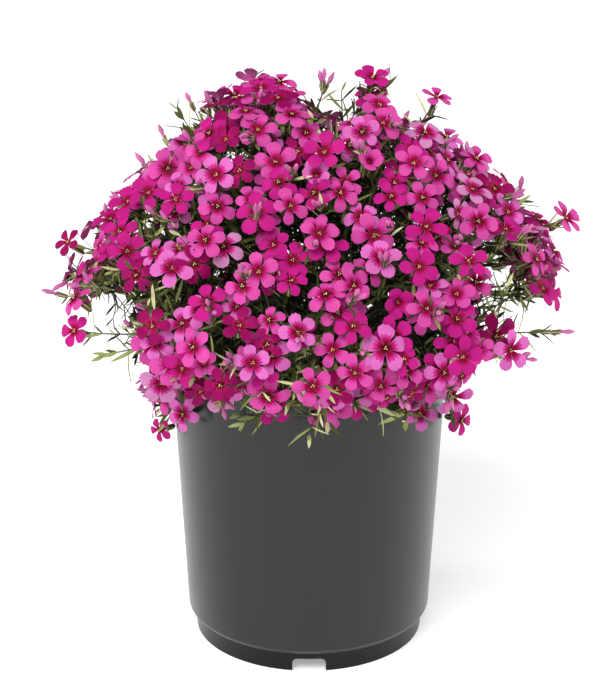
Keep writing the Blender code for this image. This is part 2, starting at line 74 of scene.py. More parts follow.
for leftover in list(bpy.data.objects):
    bpy.data.objects.remove(leftover)
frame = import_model()
BOUGH_NODES = sorted(name for name in frame["nodes"] if name.startswith("bough_"))
MASS_NODES = sorted(name for name in frame["nodes"] if name.startswith("blossom_"))

# the solids' own rule, written again: all metres, angles in degrees where said
SEED = 41
CLEARANCE = 0.0003
POT_HEIGHT = 0.178
LIP_RADIUS = 0.0836
LIP_DEPTH = 0.004
LIP_ROUND = 0.0007
WALL_TOP_RADIUS = 0.0825
WALL_BASE_RADIUS = 0.0743
WALL_THICKNESS = 0.0015
STEP_HEIGHT = 0.0134
STEP_ROUND = 0.0032
FOOT_TOP_RADIUS = 0.0703
FOOT_RADIUS = 0.0695
FOOT_RING_WIDTH = 0.0027
CHANNEL_HEIGHT = 0.0096
HUB_RADIUS = 0.047
FLOOR_THICKNESS = 0.002
FLOOR_CORNER = 0.0035
HUB_DRAFT = 0.0015
FOOT_EDGE = 0.0004
NOTCH_COUNT = 3
NOTCH_ROUND = 0.0032
NOTCH_WIDTH = 0.020
NOTCH_HEIGHT = 0.0084
NOTCH_REACH = (0.0610, 0.0760)
SOIL_CROWN = 0.166
SOIL_TOP = 0.164
MIX_RADIUS = WALL_TOP_RADIUS - WALL_THICKNESS - 0.0012
MIX_FLOOR = 0.0155
# how far inwards the fill's side is at two heights
MIX_SIDES = ((0.0040, 0.120), (0.0072, MIX_FLOOR))
STOCK_BASE_RADIUS = 0.0115
STOCK_TOP_RADIUS = 0.0060
STOCK_FLARE = 0.0015
STOCK_TOP = 0.200
HEART = Vector((0.0, 0.0, 0.185))
CROWN_PROFILE = (
    (0.000, 0.341),
    (0.032, 0.340),
    (0.052, 0.333),
    (0.069, 0.317),
    (0.089, 0.298),
    (0.112, 0.279),
    (0.132, 0.260),
    (0.145, 0.241),
    (0.149, 0.222),
    (0.145, 0.205),
    (0.133, 0.192),
    (0.114, 0.182),
    (0.097, 0.167),
    (0.092, 0.150),
    (0.090, 0.134),
)
PROFILE_STEPS = 240
# rows of the outline on each side of a point that its slope is read from
SLOPE_ROWS = 4
SKIRT_TOP = 0.186
FRONT_LIFT = 0.78
FRONT_DRAW = 0.06
SIDE_SWELL = 0.025
CLUMP_RELIEF = 0.006
CLUMP_WIDTH = 0.030
SITE_SCATTER = 0.003
# where the outline stands out or falls in: middle, reach and how far
Swell = namedtuple("Swell", "middle reach depth")
SWELLS = [Swell(Vector(row[:3]), *row[3:]) for row in (
    (-0.128, 0.000, 0.276, 0.045, -0.013),
    (0.135, -0.050, 0.200, 0.042, -0.030),
    (-0.110, -0.060, 0.183, 0.032, -0.028),
    (0.000, 0.000, 0.341, 0.026, -0.010),
    (-0.040, -0.005, 0.337, 0.017, 0.006),
    (0.038, 0.000, 0.337, 0.017, 0.007),
    (0.112, 0.000, 0.285, 0.028, -0.005),
    (0.150, -0.010, 0.225, 0.025, -0.006),
    (-0.150, -0.010, 0.235, 0.025, -0.003),
    (0.098, -0.030, 0.165, 0.030, -0.010),
    (-0.085, 0.110, 0.225, 0.040, 0.005),
    (0.070, 0.115, 0.250, 0.035, -0.007),
)]
Tier = namedtuple("Tier", "name count radius height first_turn leave seat_radius seat_height arch")
TIERS = [Tier(*row) for row in (
    ("top", 1, 0.000, 0.322, 0.0, 0.2018, 0.0015, 0.267, 0.000),
    ("upper", 4, 0.062, 0.298, 40.0, 0.1965, 0.037, 0.253, 0.006),
    ("shoulder", 6, 0.103, 0.258, 12.0, 0.1890, 0.062, 0.229, 0.006),
    ("brim", 7, 0.118, 0.210, 64.0, 0.1815, 0.066, 0.206, 0.006),
    ("skirt", 6, 0.095, 0.163, 30.0, 0.1735, 0.0905, 0.1935, 0.013),
)]
SKIRT_LIFT = 0.008
Mass = namedtuple("Mass", "middle bough stem")
BOUGH_BASE_RADIUS = 0.0016
BOUGH_TIP_RADIUS = 0.0010
BOUGH_POINTS = 5
BOUGH_SET_OFF = 0.0008
BOUGH_BEND = 0.45
STEM_BEND = 0.35
CELL_MARGIN = 0.0005
LIMB_MARGIN = 0.0007
RIM_MARGIN = 0.0011
STEM_POINTS = 4
SITE_COUNT = 147
GOLDEN_TURN = radians(137.508)
# a twig's bend: how far before its tip it is square on, and how far towards that it swings
TWIG_SQUARE = 0.45
TWIG_SLACK = 0.35
TURN_SCATTER = 0.05
ROOT_LOW = 0.22
ROOT_HIGH = 0.97
PULLS = (0.0, 0.08, 0.16, 0.24, 0.34)
PULL_DEPTH = 0.018
FACE_LIFT = 0.30
FACE_SCATTER = 0.32
# flowers turn this way to the light, from a depth of LIGHT_EDGE forwards
LIGHT_WAY = Vector((0.0, -0.94, 0.34))
LIGHT_PULL = 1.0
LIGHT_EDGE = 0.050
LIGHT_DEPTH = 0.070
FLOWER_RADIUS = 0.0130
FLOWER_SPREAD = (0.94, 1.06)
FLOWER_TOP = 0.0008
FLOWER_BACK = 0.0016
PETAL_HALF_TURN = 0.33
FIRST_PETAL = -0.77
NOTCH_SHARE = 0.36
NOTCH_LIFT = 0.0002
SMALLEST_FLOWER = 0.45
BUD_LENGTH = 0.011
SHOOT_TIP_LENGTH = 0.015
LoneShoot = namedtuple("LoneShoot", "turn radius height size leaves")
LONE_SHOOTS = [LoneShoot(*row) for row in (
    (186.0, 0.076, 0.328, 0.0, 4),
    (180.0, 0.066, 0.325, 0.3, 2),
    (8.0, 0.008, 0.337, 0.3, 2),
    (0.0, 0.036, 0.344, 0.9, 1),
    (5.0, 0.074, 0.331, 0.8, 2),
    (-4.0, 0.095, 0.300, 0.9, 1),
    (0.0, 0.124, 0.269, 0.0, 4),
    (183.0, 0.141, 0.248, 0.8, 2),
    (194.0, 0.149, 0.205, 0.9, 2),
    (2.0, 0.154, 0.2575, 1.0, 2),
    (-14.0, 0.144, 0.202, 0.3, 4),
    (-22.0, 0.130, 0.191, 0.3, 3),
    (-158.0, 0.126, 0.193, 0.0, 3),
    (-168.0, 0.091, 0.1345, 0.6, 2),
    (-9.0, 0.090, 0.138, 0.9, 2),
    (100.0, 0.150, 0.205, 0.8, 2),
    (60.0, 0.094, 0.136, 0.8, 1),
)]

# what scene.py adds to the rule
POT_CREASE = radians(32.0)
MIX_RINGS = 24
MIX_STEPS = 96
MIX_RELIEF = 0.0008
# the mix is rough on top, but for its edge at the wall
MIX_TOP_DEPTH = 0.001
MIX_ROUGH_SHARE = 0.98
CHIP_EDGE = 0.003
CHIP_LIFT = 0.0003
CHIP_TILT = 0.4
CHIP_SIZES = (0.45, 1.1)
CHIP_WIDTHS = (0.5, 0.9)
# a flake of bark, one unit long, its half thickness, and how much smaller it is underneath
SHARD_OUTLINE = ((-0.5, -0.1), (-0.25, -0.32), (0.2, -0.28), (0.5, 0.05), (0.22, 0.3), (-0.3, 0.26))
SHARD_HALF = 0.09
SHARD_UNDER = 0.9
STOCK_SINK = 0.0006
STOCK_RISE = 0.001
STOCK_RINGS = 15
STOCK_SIDES = 20
# share of the flare left a ring up, and of the radius left at the top
FLARE_EASE = 0.4
STOCK_DRAW_IN = 0.7
# the stock's relief next to the boughs', and the width of each one's lumps
STOCK_RELIEF_SHARE = 1.6
STOCK_RELIEF_WIDTH = 0.005
BOUGH_RELIEF_WIDTH = 0.0025
BOUGH_ROOT = 0.003
BOUGH_ROOT_SHARE = 1.15
BOUGH_RINGS = 13
BOUGH_SIDES = 9
STEM_RADII = (0.00095, 0.0006)
STEM_RINGS = 10
STEM_SIDES = 6
STEM_RELIEF = (0.0003, 0.002)
TWIG_SIDES = 4
MAIN_COUNT = SITE_COUNT + len(LONE_SHOOTS)
TWIG_POINTS = 8
# radius at a twig's root and tip, in shares of a main twig's at its root
TWIG_TAPER = (1.0, 0.7)
FINER_TAPER = (0.8, 0.55)
Layer = namedtuple("Layer", "name count first_turn depth seed")
LAYERS = (
    Layer("fill", 520, 1.3, (-0.013, 0.001), 3001),
    Layer("sprig", 150, 2.9, (-0.006, 0.004), 5003),
    Layer("rear", 340, 2.3, (-0.010, 0.002), 8009),
    Layer("inner", 480, 0.7, (-0.055, -0.018), 6007),
    Layer("heart", 400, 1.9, (-0.095, -0.050), 7001),
)
LEAFY_LAYERS = ("inner", "heart")
REAR_START = -0.025
FINER_TURN_SCATTER = 0.1
FINER_SIZES = (0.74, 1.04)
FINER_EDGE = 0.0
FINER_SCATTER = 0.70
# a finer flower nearer than this to another is sunk behind it
FINER_SPACING = 0.0095
FINER_SINK = 0.003
FINER_ROOTS = (0.35, 0.6)
LEAFY_ROOTS = (0.15, 0.35)
TUFT_ROOT = 0.3
WAIST = 0.6
# sprigs bear leaves alone, or buds where their size is above 0
SPRIG_SIZES = (0.0, 0.3, 0.3)
# how many of the shoots that an open place leaves out are bare, not leafy
BARE_SHARE = 0.92
# how many times deeper than wide a thin place is
THIN_DEPTH = 6.5
LEAF_PAIR_STEP = 0.0058
# leafy tips without flowers that hang over the front of the rim
RIM_TUFTS = [LoneShoot(*row) for row in (
    (-113.0, 0.094, 0.166, 0.0, 4),
    (-107.0, 0.093, 0.173, 0.0, 4),
    (-90.0, 0.097, 0.163, 0.0, 4),
    (-84.0, 0.095, 0.170, 0.0, 4),
    (-62.0, 0.095, 0.172, 0.0, 4),
    (-56.0, 0.097, 0.165, 0.0, 4),
)]
# places with fewer flowers: middle, reach, and the share left out; at a share of 1 the crown
# is open there, and below it leafy; they run back in line with eyes in front of the plant
EYES = Vector((0.0, -1.2, 0.612))
ThinPlace = namedtuple("ThinPlace", "middle reach share")
THIN_PLACES = [ThinPlace(Vector(row[:3]), *row[3:]) for row in (
    (0.118, 0.000, 0.205, 0.022, 1.0),
    (0.106, 0.000, 0.236, 0.017, 1.0),
    (0.089, 0.000, 0.221, 0.011, 1.0),
    (0.104, 0.000, 0.152, 0.018, 1.0),
    (0.092, 0.000, 0.142, 0.012, 1.0),
    (-0.119, 0.000, 0.206, 0.018, 1.0),
    (-0.113, 0.000, 0.183, 0.017, 1.0),
    (-0.134, 0.000, 0.239, 0.012, 1.0),
    (-0.100, -0.060, 0.228, 0.026, 0.85),
    (0.058, 0.000, 0.330, 0.016, 1.0),
    (0.014, 0.000, 0.336, 0.016, 1.0),
    (-0.003, 0.000, 0.341, 0.012, 1.0),
    (-0.060, -0.010, 0.315, 0.012, 0.7),
    (-0.014, -0.100, 0.182, 0.026, 0.85),
    (0.058, -0.085, 0.174, 0.016, 0.8),
    (0.060, 0.100, 0.215, 0.034, 0.7),
    (-0.090, 0.085, 0.235, 0.030, 0.65),
)]

WELD_REACH = 0.0001
RUFFLE_WIDTH = 0.008
Shoot = namedtuple("Shoot", "mass path facing side radius size leaves order shaded")
# where a template is set: its middle, its two directions and its size along three axes
Spot = namedtuple("Spot", "at facing along size")


def linear(code):
    """Linear colour of an sRGB hex code."""
    values = [int(code[start:start + 2], 16) / 255.0 for start in (1, 3, 5)]
    return tuple(v / 12.92 if v <= 0.04045 else ((v + 0.055) / 1.055) ** 2.4 for v in values)


# ---- the rule of the crown


def polar(radius, turn, height):
    return Vector((radius * cos(turn), radius * sin(turn), height))


def swung(side, ahead, angle):
    """A side direction, swung round the way ahead."""
    return side * cos(angle) + ahead.cross(side) * sin(angle)


def any_way(rng):
    """A random lean, up to 1 along each axis."""
    return Vector([rng.uniform(-1.0, 1.0) for _ in range(3)])


def stock_radius(height):
    share = (height - SOIL_CROWN) / (STOCK_TOP - SOIL_CROWN)
    return STOCK_BASE_RADIUS + (STOCK_TOP_RADIUS - STOCK_BASE_RADIUS) * clamped(share)


def clamped(share):
    return min(max(share, 0.0), 1.0)


def front_share(turn):
    """1 at the front of the crown, falling to 0 at its sides and round the back."""
    return max(0.0, -sin(turn)) ** 2


def profile_rows():
    """Radius, height and summed area at even steps down the crown's outline."""
    lengths = [0.0]
    for first, second in zip(CROWN_PROFILE, CROWN_PROFILE[1:]):
        lengths.append(lengths[-1] + dist(first, second))
    rows = []
    area = 0.0
    for step in range(PROFILE_STEPS + 1):
        along = lengths[-1] * step / PROFILE_STEPS
        spot = 0
        while spot < len(lengths) - 2 and lengths[spot + 1] < along:
            spot += 1
        share = (along - lengths[spot]) / (lengths[spot + 1] - lengths[spot])
        first, second = CROWN_PROFILE[spot], CROWN_PROFILE[spot + 1]
        radius = first[0] + (second[0] - first[0]) * share
        height = first[1] + (second[1] - first[1]) * share
        if rows:
            area += dist(rows[-1][:2], (radius, height)) * (rows[-1][0] + radius) * 0.5
        rows.append((radius, height, area))
    return rows


def outline_swell(spot):
    """How far the outline stands out of the turned one round a point of it."""
    return sum(
        row.depth * exp(-(spot - row.middle).length_squared / row.reach ** 2) for row in SWELLS
    )


def crown_point(rows, share, turn, swell=0.0):
    """The point and outward direction a share of the way down the crown's area."""
    wanted = rows[-1][2] * share
    spot = 1
    while spot < len(rows) - 1 and rows[spot][2] < wanted:
        spot += 1
    low = rows[max(spot - SLOPE_ROWS, 0)]
    high = rows[min(spot + SLOPE_ROWS, len(rows) - 1)]
    out = Vector((low[1] - high[1], 0.0, high[0] - low[0])).normalized()
    radius, height, _ = rows[spot]
    front = front_share(turn)
    radius *= 1.0 - FRONT_DRAW * front
    if height < SKIRT_TOP:
        height = SKIRT_TOP - (SKIRT_TOP - height) * (1.0 - FRONT_LIFT * front)
    else:
        radius *= 1.0 + SIDE_SWELL * cos(turn)
    normal = polar(out.x, turn, out.z)
    spot = polar(radius, turn, height)
    return spot + normal * (swell + outline_swell(spot)), normal


def arc_points(start, bend, end, count):
    points = []
    for index in range(count):
        share = index / (count - 1)
        points.append(start.lerp(bend, share).lerp(bend.lerp(end, share), share))
    return points


def lay_out_mass(tier, index):
    """Middle of a mass, the limb that carries it and the stem that it branches from."""
    turn = radians(tier.first_turn + 360.0 * index / tier.count)
    front = front_share(turn)
    radius = tier.radius * (1.0 - FRONT_DRAW * front + SIDE_SWELL * cos(turn))
    height = tier.height + (SKIRT_LIFT * front if tier.name == "skirt" else 0.0)
    middle = polar(radius, turn, height)
    leave_radius = 0.0 if tier.count == 1 else stock_radius(tier.leave) + BOUGH_SET_OFF + CLEARANCE
    start = polar(leave_radius, turn, tier.leave)
    seat = polar(tier.seat_radius, turn, tier.seat_height)
    bend = start.lerp(seat, BOUGH_BEND) + Vector((0.0, 0.0, tier.arch))
    bough = arc_points(start, bend, seat, BOUGH_POINTS)
    ahead = (bough[-1] - bough[-2]).normalized()
    foot = seat + ahead * CLEARANCE
    turn_point = foot + ahead * (middle - foot).length * STEM_BEND
    return Mass(middle, bough, arc_points(foot, turn_point, middle, STEM_POINTS))


def cell_depth(masses, point, mass):
    """How far a point lies inside the mass's own space."""
    own = masses[mass].middle
    depths = []
    for other, row in enumerate(masses):
        if other != mass:
            gain = (point - row.middle).length_squared - (point - own).length_squared
            depths.append(gain / (2.0 * (row.middle - own).length))
    return min(depths)


def home_of(masses, point):
    return min(range(len(masses)), key=lambda mass: (point - masses[mass].middle).length_squared)


def segment_distance(point, first, second):
    span = second - first
    share = clamped((point - first).dot(span) / span.length_squared)
    return (point - first.lerp(second, share)).length


def off_the_pot(point):
    near = hypot(point.x, point.y) < LIP_RADIUS + RIM_MARGIN
    return not (near and point.z < POT_HEIGHT + RIM_MARGIN)


def is_free(masses, mass, points):
    """True when every point keeps to the mass's space, off the boughs and off the pot."""
    for point in points:
        if cell_depth(masses, point, mass) < CELL_MARGIN or not off_the_pot(point):
            return False
        for row in masses:
            for first, second in zip(row.bough, row.bough[1:]):
                if segment_distance(point, first, second) < BOUGH_BASE_RADIUS + LIMB_MARGIN:
                    return False
    return True


def point_along(path, share):
    along = share * (len(path) - 1)
    spot = min(int(along), len(path) - 2)
    return path[spot].lerp(path[spot + 1], along - spot)


def twig_path(stem, root_share, tip, facing, count):
    """A shoot that leaves its stem and turns to meet its tip square on."""
    root = point_along(stem, root_share)
    square = tip - facing * (tip - root).length * TWIG_SQUARE
    return arc_points(root, square.lerp(root.lerp(tip, 0.5), TWIG_SLACK), tip, count)


def side_at_end(points, turn, facing):
    """Where a shoot's first side points once it has been carried along to the tip."""
    ahead = (points[1] - points[0]).normalized()
    side = swung(ahead.orthogonal().normalized(), ahead, turn)
    for index in range(len(points)):
        ahead = (points[min(index + 1, len(points) - 1)] - points[max(index - 1, 0)]).normalized()
        if index == len(points) - 1:
            ahead = facing
        side = (side - ahead * side.dot(ahead)).normalized()
    return side


def star_points(middle, facing, side, radius):
    """Corners of the solids' five-petalled flower, which keep it to its mass's space."""
    corners = (
        (-PETAL_HALF_TURN, 1.0, 0.0),
        (PETAL_HALF_TURN, 1.0, 0.0),
        (pi / 5.0, NOTCH_SHARE, NOTCH_LIFT),
    )
    points = []
    for petal in range(5):
        for shift, reach, lift in corners:
            offset = swung(side, facing, tau * petal / 5.0 + FIRST_PETAL + shift)
            points.append(middle + offset * radius * reach + facing * lift)
    return points + [middle + facing * FLOWER_TOP]


def face_direction(spot, normal, rng, scatter, edge=LIGHT_EDGE):
    """A flower looks outwards and up, and on the lit side towards the light."""
    lean = any_way(rng)
    pull = LIGHT_WAY * LIGHT_PULL * clamped((edge - spot.y) / LIGHT_DEPTH)
    return (normal + Vector((0.0, 0.0, FACE_LIFT)) + pull + lean * scatter).normalized()


def shoot_sites(masses, rows):
    """Tip, facing, random source, flower size and leaf count of every main shoot."""
    sites = []
    for index in range(SITE_COUNT):
        rng = random.Random(SEED * 1009 + index)
        turn = index * GOLDEN_TURN + rng.uniform(-TURN_SCATTER, TURN_SCATTER)
        share = (index + 0.5) / SITE_COUNT
        spot, normal = crown_point(rows, share, turn)
        depth = cell_depth(masses, spot, home_of(masses, spot))
        relief = CLUMP_RELIEF * (min(depth / CLUMP_WIDTH, 1.0) - 0.5) if spot.z > SKIRT_TOP else 0.0
        swell = relief + rng.uniform(-SITE_SCATTER, SITE_SCATTER)
        spot, normal = crown_point(rows, share, turn, swell)
        sites.append((spot, face_direction(spot, normal, rng, FACE_SCATTER), rng, 1.0, 1))
    for index, shoot in enumerate(LONE_SHOOTS):
        rng = random.Random(SEED * 2003 + index)
        spot = polar(shoot.radius, radians(shoot.turn), shoot.height)
        facing = (spot - HEART).normalized()
        if shoot.size >= SMALLEST_FLOWER:
            facing = face_direction(spot, facing, rng, 0.0)
        sites.append((spot, facing, rng, shoot.size, shoot.leaves))
    return sites


def main_shoots(masses, rows):
    """The solids' shoots: roots dealt along each stem, tips drawn in until they are free."""
    dealt = [[] for _ in masses]
    for site in shoot_sites(masses, rows):
        dealt[home_of(masses, site[0])].append(site)
    shoots = []
    order = 0
    for mass, sites in enumerate(dealt):
        middle, _, stem = masses[mass]
        core = middle + (middle - HEART).normalized() * PULL_DEPTH
        ahead = (stem[-1] - stem[-2]).normalized()
        waist = point_along(stem, 0.5)
        sites.sort(key=lambda site: -ahead.angle(site[0] - waist))
        for index, (spot, facing, rng, size, leaves) in enumerate(sites):
            share = min(ROOT_LOW + (1.0 - ROOT_LOW) * index / max(len(sites) - 1, 1), ROOT_HIGH)
            for pull in PULLS:
                tip = spot.lerp(core, pull)
                path = twig_path(stem, share, tip, facing, 3)
                turn = rng.uniform(0.0, tau)
                radius = 0.0
                side = facing.orthogonal().normalized()
                if size >= SMALLEST_FLOWER:
                    radius = FLOWER_RADIUS * size * rng.uniform(*FLOWER_SPREAD)
                    neck = path[-1] - facing * FLOWER_BACK
                    side = side_at_end(path[:-1] + [neck], turn, facing)
                    outline = star_points(path[-1], facing, side, radius)
                else:
                    length = BUD_LENGTH if size > 0.0 else SHOOT_TIP_LENGTH
                    outline = [path[-1] + facing * length]
                if is_free(masses, mass, path[1:] + outline):
                    fine = twig_path(stem, share, tip, facing, TWIG_POINTS)
                    if size < 1.0 or leaves > 1 or thinness(tip) < 1.0:
                        shoots.append(
                            Shoot(mass, fine, facing, side, radius, size, leaves, order, False)
                        )
                    order += 1
                    break
    return shoots


# ---- finer shoots


def thinness(point):
    """Share of shoots that the crown leaves out round a point; thin places run deep."""
    found = 0.0
    for place in THIN_PLACES:
        nearer = (place.middle.y - EYES.y) / (point.y - EYES.y)
        apart = EYES + (point - EYES) * nearer - place.middle
        apart.y = (point.y - place.middle.y) / THIN_DEPTH
        if apart.length < place.reach:
            found = max(found, place.share)
    return found


def branch_off(masses, shoots, spot, facing, share, *rest):
    """A finer shoot, off the main one of its mass whose waist is closest."""
    mass = home_of(masses, spot)
    own = [row for row in shoots if row.mass == mass] or shoots
    parent = min(own, key=lambda row: (point_along(row.path, WAIST) - spot).length_squared)
    path = twig_path(parent.path, share, spot, facing, TWIG_POINTS)
    return Shoot(parent.mass, path, facing, facing.orthogonal().normalized(), *rest)


def finer_shoots(masses, rows, shoots):
    """Flowers and leafy sprigs between the main ones, and leafy ones inside the crown."""
    tips = [row.path[-1] for row in shoots if row.radius]
    found = []
    order = MAIN_COUNT
    for layer in LAYERS:
        leafy = layer.name in LEAFY_LAYERS
        for index in range(layer.count):
            order += 1
            rng = random.Random(SEED * layer.seed + index)
            scatter = rng.uniform(-FINER_TURN_SCATTER, FINER_TURN_SCATTER)
            turn = index * GOLDEN_TURN + layer.first_turn + scatter
            swell = rng.uniform(*layer.depth)
            spot, normal = crown_point(rows, (index + 0.5) / layer.count, turn, swell)
            facing = face_direction(spot, normal, rng, FINER_SCATTER, FINER_EDGE)
            size = rng.uniform(*FINER_SIZES)
            share_out = thinness(spot)
            thin = rng.random() < share_out
            if layer.name == "sprig":
                size = rng.choice(SPRIG_SIZES)
            elif leafy or thin:
                size = 0.0
            bare = leafy or rng.random() < BARE_SHARE
            if thin and share_out >= 1.0 and bare:
                continue
            if layer.name == "rear" and spot.y < REAR_START:
                continue
            radius = 0.0
            outline = [spot + facing * BUD_LENGTH]
            if size >= SMALLEST_FLOWER:
                near = min((spot - tip).length for tip in tips)
                if near < FINER_SPACING:
                    spot = spot - normal * (FINER_SPACING - near + FINER_SINK)
                radius = FLOWER_RADIUS * size
                outline = star_points(spot, facing, facing.orthogonal().normalized(), radius)
            if not all(off_the_pot(point) for point in outline):
                continue
            share = rng.uniform(*(LEAFY_ROOTS if leafy else FINER_ROOTS))
            rest = (radius, size, 2, order, leafy)
            found.append(branch_off(masses, shoots, spot, facing, share, *rest))
            if radius:
                tips.append(spot)
    for tuft in RIM_TUFTS:
        order += 1
        spot = polar(tuft.radius, radians(tuft.turn), tuft.height)
        facing = (spot - HEART).normalized()
        rest = (0.0, tuft.size, tuft.leaves, order, False)
        found.append(branch_off(masses, shoots, spot, facing, TUFT_ROOT, *rest))
    return found


@functools.lru_cache(maxsize=1)
def grown_crown():
    """Masses, main shoots and finer shoots, worked out once for every operator."""
    masses = [lay_out_mass(tier, index) for tier in TIERS for index in range(tier.count)]
    rows = profile_rows()
    shoots = main_shoots(masses, rows)
    return masses, shoots, finer_shoots(masses, rows, shoots)


# ---- meshes and node trees


def new_object(name, data):
    item = bpy.data.objects.new(name, data)
    bpy.context.scene.collection.objects.link(item)
    return item


def mesh_from(name, verts, faces, smooth=True, edges=()):
    mesh = bpy.data.meshes.new(name)
    mesh.from_pydata(verts, edges, faces)
    if faces and smooth:
        mesh.shade_smooth()
    mesh.update()
    return mesh


def repaired(name, verts, faces, *repairs):
    """An object whose mesh has had each repair made to it in turn."""
    mesh = mesh_from(name, verts, faces)
    shape = bmesh.new()
    shape.from_mesh(mesh)
    for repair in repairs:
        repair(shape)
    shape.to_mesh(mesh)
    shape.free()
    return new_object(name, mesh)


def weld(shape):
    bmesh.ops.remove_doubles(shape, verts=shape.verts, dist=WELD_REACH)


def fill_holes(shape):
    bmesh.ops.holes_fill(shape, edges=[edge for edge in shape.edges if edge.is_boundary])


def turn_outwards(shape):
    bmesh.ops.recalc_face_normals(shape, faces=shape.faces)


def turn_upwards(shape):
    if sum(face.normal.z for face in shape.faces) < 0.0:
        bmesh.ops.reverse_faces(shape, faces=shape.faces)


def band_faces(start, count):
    """Quads between a ring of points and the ring listed after it."""
    faces = []
    for step in range(count):
        after = (step + 1) % count
        faces.append((start + step, start + after, start + count + after, start + count + step))
    return faces


def add_node(tree, kind, links, **settings):
    """One node: each link is a socket, a plain value or a colour, and settings are its own."""
    node = tree.nodes.new(kind)
    for key, value in settings.items():
        setattr(node, key, value)
    for key, value in links.items():
        socket = node.inputs[key]
        if isinstance(value, bpy.types.NodeSocket):
            tree.links.new(value, socket)
        else:
            socket.default_value = value
    return node


def shape_tree(name, **inputs):
    """An empty geometry tree with named inputs: a kind of socket, or a default number."""
    tree = bpy.data.node_groups.new(name, "GeometryNodeTree")
    kinds = {int: "NodeSocketInt", float: "NodeSocketFloat"}
    for label, given in {"Geometry": "NodeSocketGeometry", **inputs}.items():
        kind = kinds.get(type(given), given)
        label = label.replace("_", " ")
        socket = tree.interface.new_socket(label, in_out="INPUT", socket_type=kind)
        if kind != given:
            socket.default_value = given
    tree.interface.new_socket("Geometry", in_out="OUTPUT", socket_type="NodeSocketGeometry")
    return tree, tree.nodes.new("NodeGroupInput").outputs


def close_tree(tree, geometry, offset, finish, round_limbs=False):
    """Ends a tree the way the export needs: moved, real geometry with its material."""
    moved = add_node(tree, "GeometryNodeSetPosition", {"Geometry": geometry, "Offset": offset})
    geometry = moved.outputs[0]
    if round_limbs:
        geometry = add_node(
            tree, "GeometryNodeSetShadeSmooth", {"Geometry": geometry, "Shade Smooth": True}
        ).outputs[0]
    real = add_node(tree, "GeometryNodeRealizeInstances", {"Geometry": geometry})
    made = add_node(
        tree, "GeometryNodeSetMaterial", {"Geometry": real.outputs[0], "Material": finish}
    )
    add_node(tree, "NodeGroupOutput", {"Geometry": made.outputs[0]})
    return tree


def noise_offset(tree, width, depth):
    """A vector that wanders by depth over a given width, the same for all that lies there."""
    where = add_node(tree, "GeometryNodeInputPosition", {}).outputs[0]
    spacing = add_node(tree, "ShaderNodeMath", {0: 1.0, 1: width}, operation="DIVIDE")
    noise = add_node(
        tree, "ShaderNodeTexNoise", {"Vector": where, "Scale": spacing.outputs[0], "Detail": 1.0}
    )
    links = {0: noise.outputs["Color"], 1: (0.5, 0.5, 0.5)}
    centred = add_node(tree, "ShaderNodeVectorMath", links, operation="SUBTRACT").outputs[0]
    links = {0: centred, "Scale": depth}
    return add_node(tree, "ShaderNodeVectorMath", links, operation="SCALE").outputs[0]


def read_attribute(tree, label, kind):
    links = {"Name": label}
    return add_node(tree, "GeometryNodeInputNamedAttribute", links, data_type=kind).outputs[0]


@functools.lru_cache(maxsize=1)
def scatter_tree():
    """Sets a template on every point, turned by its facing and along directions."""
    tree, given = shape_tree(
        "set_on_points", Template="NodeSocketObject", Finish="NodeSocketMaterial",
        Ruffle=0.0, Ruffle_Width=RUFFLE_WIDTH,
    )
    facing, along, size = [
        read_attribute(tree, label, "FLOAT_VECTOR") for label in ("facing", "along", "size")
    ]
    turned_to = add_node(
        tree, "FunctionNodeAxesToRotation", {"Primary Axis": facing, "Secondary Axis": along},
        primary_axis="Z", secondary_axis="X",
    )
    template = add_node(
        tree, "GeometryNodeObjectInfo", {"Object": given["Template"]}, transform_space="ORIGINAL"
    )
    dealt = add_node(tree, "GeometryNodeInstanceOnPoints", {
        "Points": given["Geometry"],
        "Instance": template.outputs["Geometry"],
        "Rotation": turned_to.outputs[0],
        "Scale": size,
    })
    real = add_node(tree, "GeometryNodeRealizeInstances", {"Geometry": dealt.outputs[0]})
    offset = noise_offset(tree, given["Ruffle Width"], given["Ruffle"])
    return close_tree(tree, real.outputs[0], offset, given["Finish"])


@functools.lru_cache(maxsize=1)
def limb_tree():
    """Round limbs along lines, as thick as the points' radius, with relief in the bark."""
    tree, given = shape_tree(
        "limbs_on_lines", Finish="NodeSocketMaterial", Sides=5, Relief=0.0, Relief_Width=0.003
    )
    lines = add_node(tree, "GeometryNodeMeshToCurve", {"Mesh": given["Geometry"]})
    circle = add_node(
        tree, "GeometryNodeCurvePrimitiveCircle", {"Resolution": given["Sides"], "Radius": 1.0}
    )
    skin = add_node(tree, "GeometryNodeCurveToMesh", {
        "Curve": lines.outputs[0],
        "Profile Curve": circle.outputs[0],
        "Scale": read_attribute(tree, "radius", "FLOAT"),
        "Fill Caps": True,
    })
    offset = noise_offset(tree, given["Relief Width"], given["Relief"])
    return close_tree(tree, skin.outputs[0], offset, given["Finish"], round_limbs=True)


def applied(item):
    """Keeps what an object's modifiers make as its plain mesh."""
    graph = bpy.context.evaluated_depsgraph_get()
    mesh = bpy.data.meshes.new_from_object(item.evaluated_get(graph))
    item.modifiers.clear()
    old = item.data
    item.data = mesh
    mesh.name = item.name
    bpy.data.meshes.remove(old)
    if not mesh.polygons:
        raise RuntimeError(f"{item.name} came out empty")
    return item


def grown_mesh(item, tree, values):
    """Runs a tree on an object and keeps the result as its plain mesh."""
    held = item.modifiers.new("grown", "NODES")
    held.node_group = tree
    for socket in tree.interface.items_tree:
        label = socket.name.replace(" ", "_")
        if socket.in_out == "INPUT" and label in values:
            held[socket.identifier] = values[label]
    item.update_tag()
    return applied(item)


def settle(item, slot, *nodes):
    """Hands a finished piece to the frame."""
    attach(item, "root")
    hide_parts(*nodes)


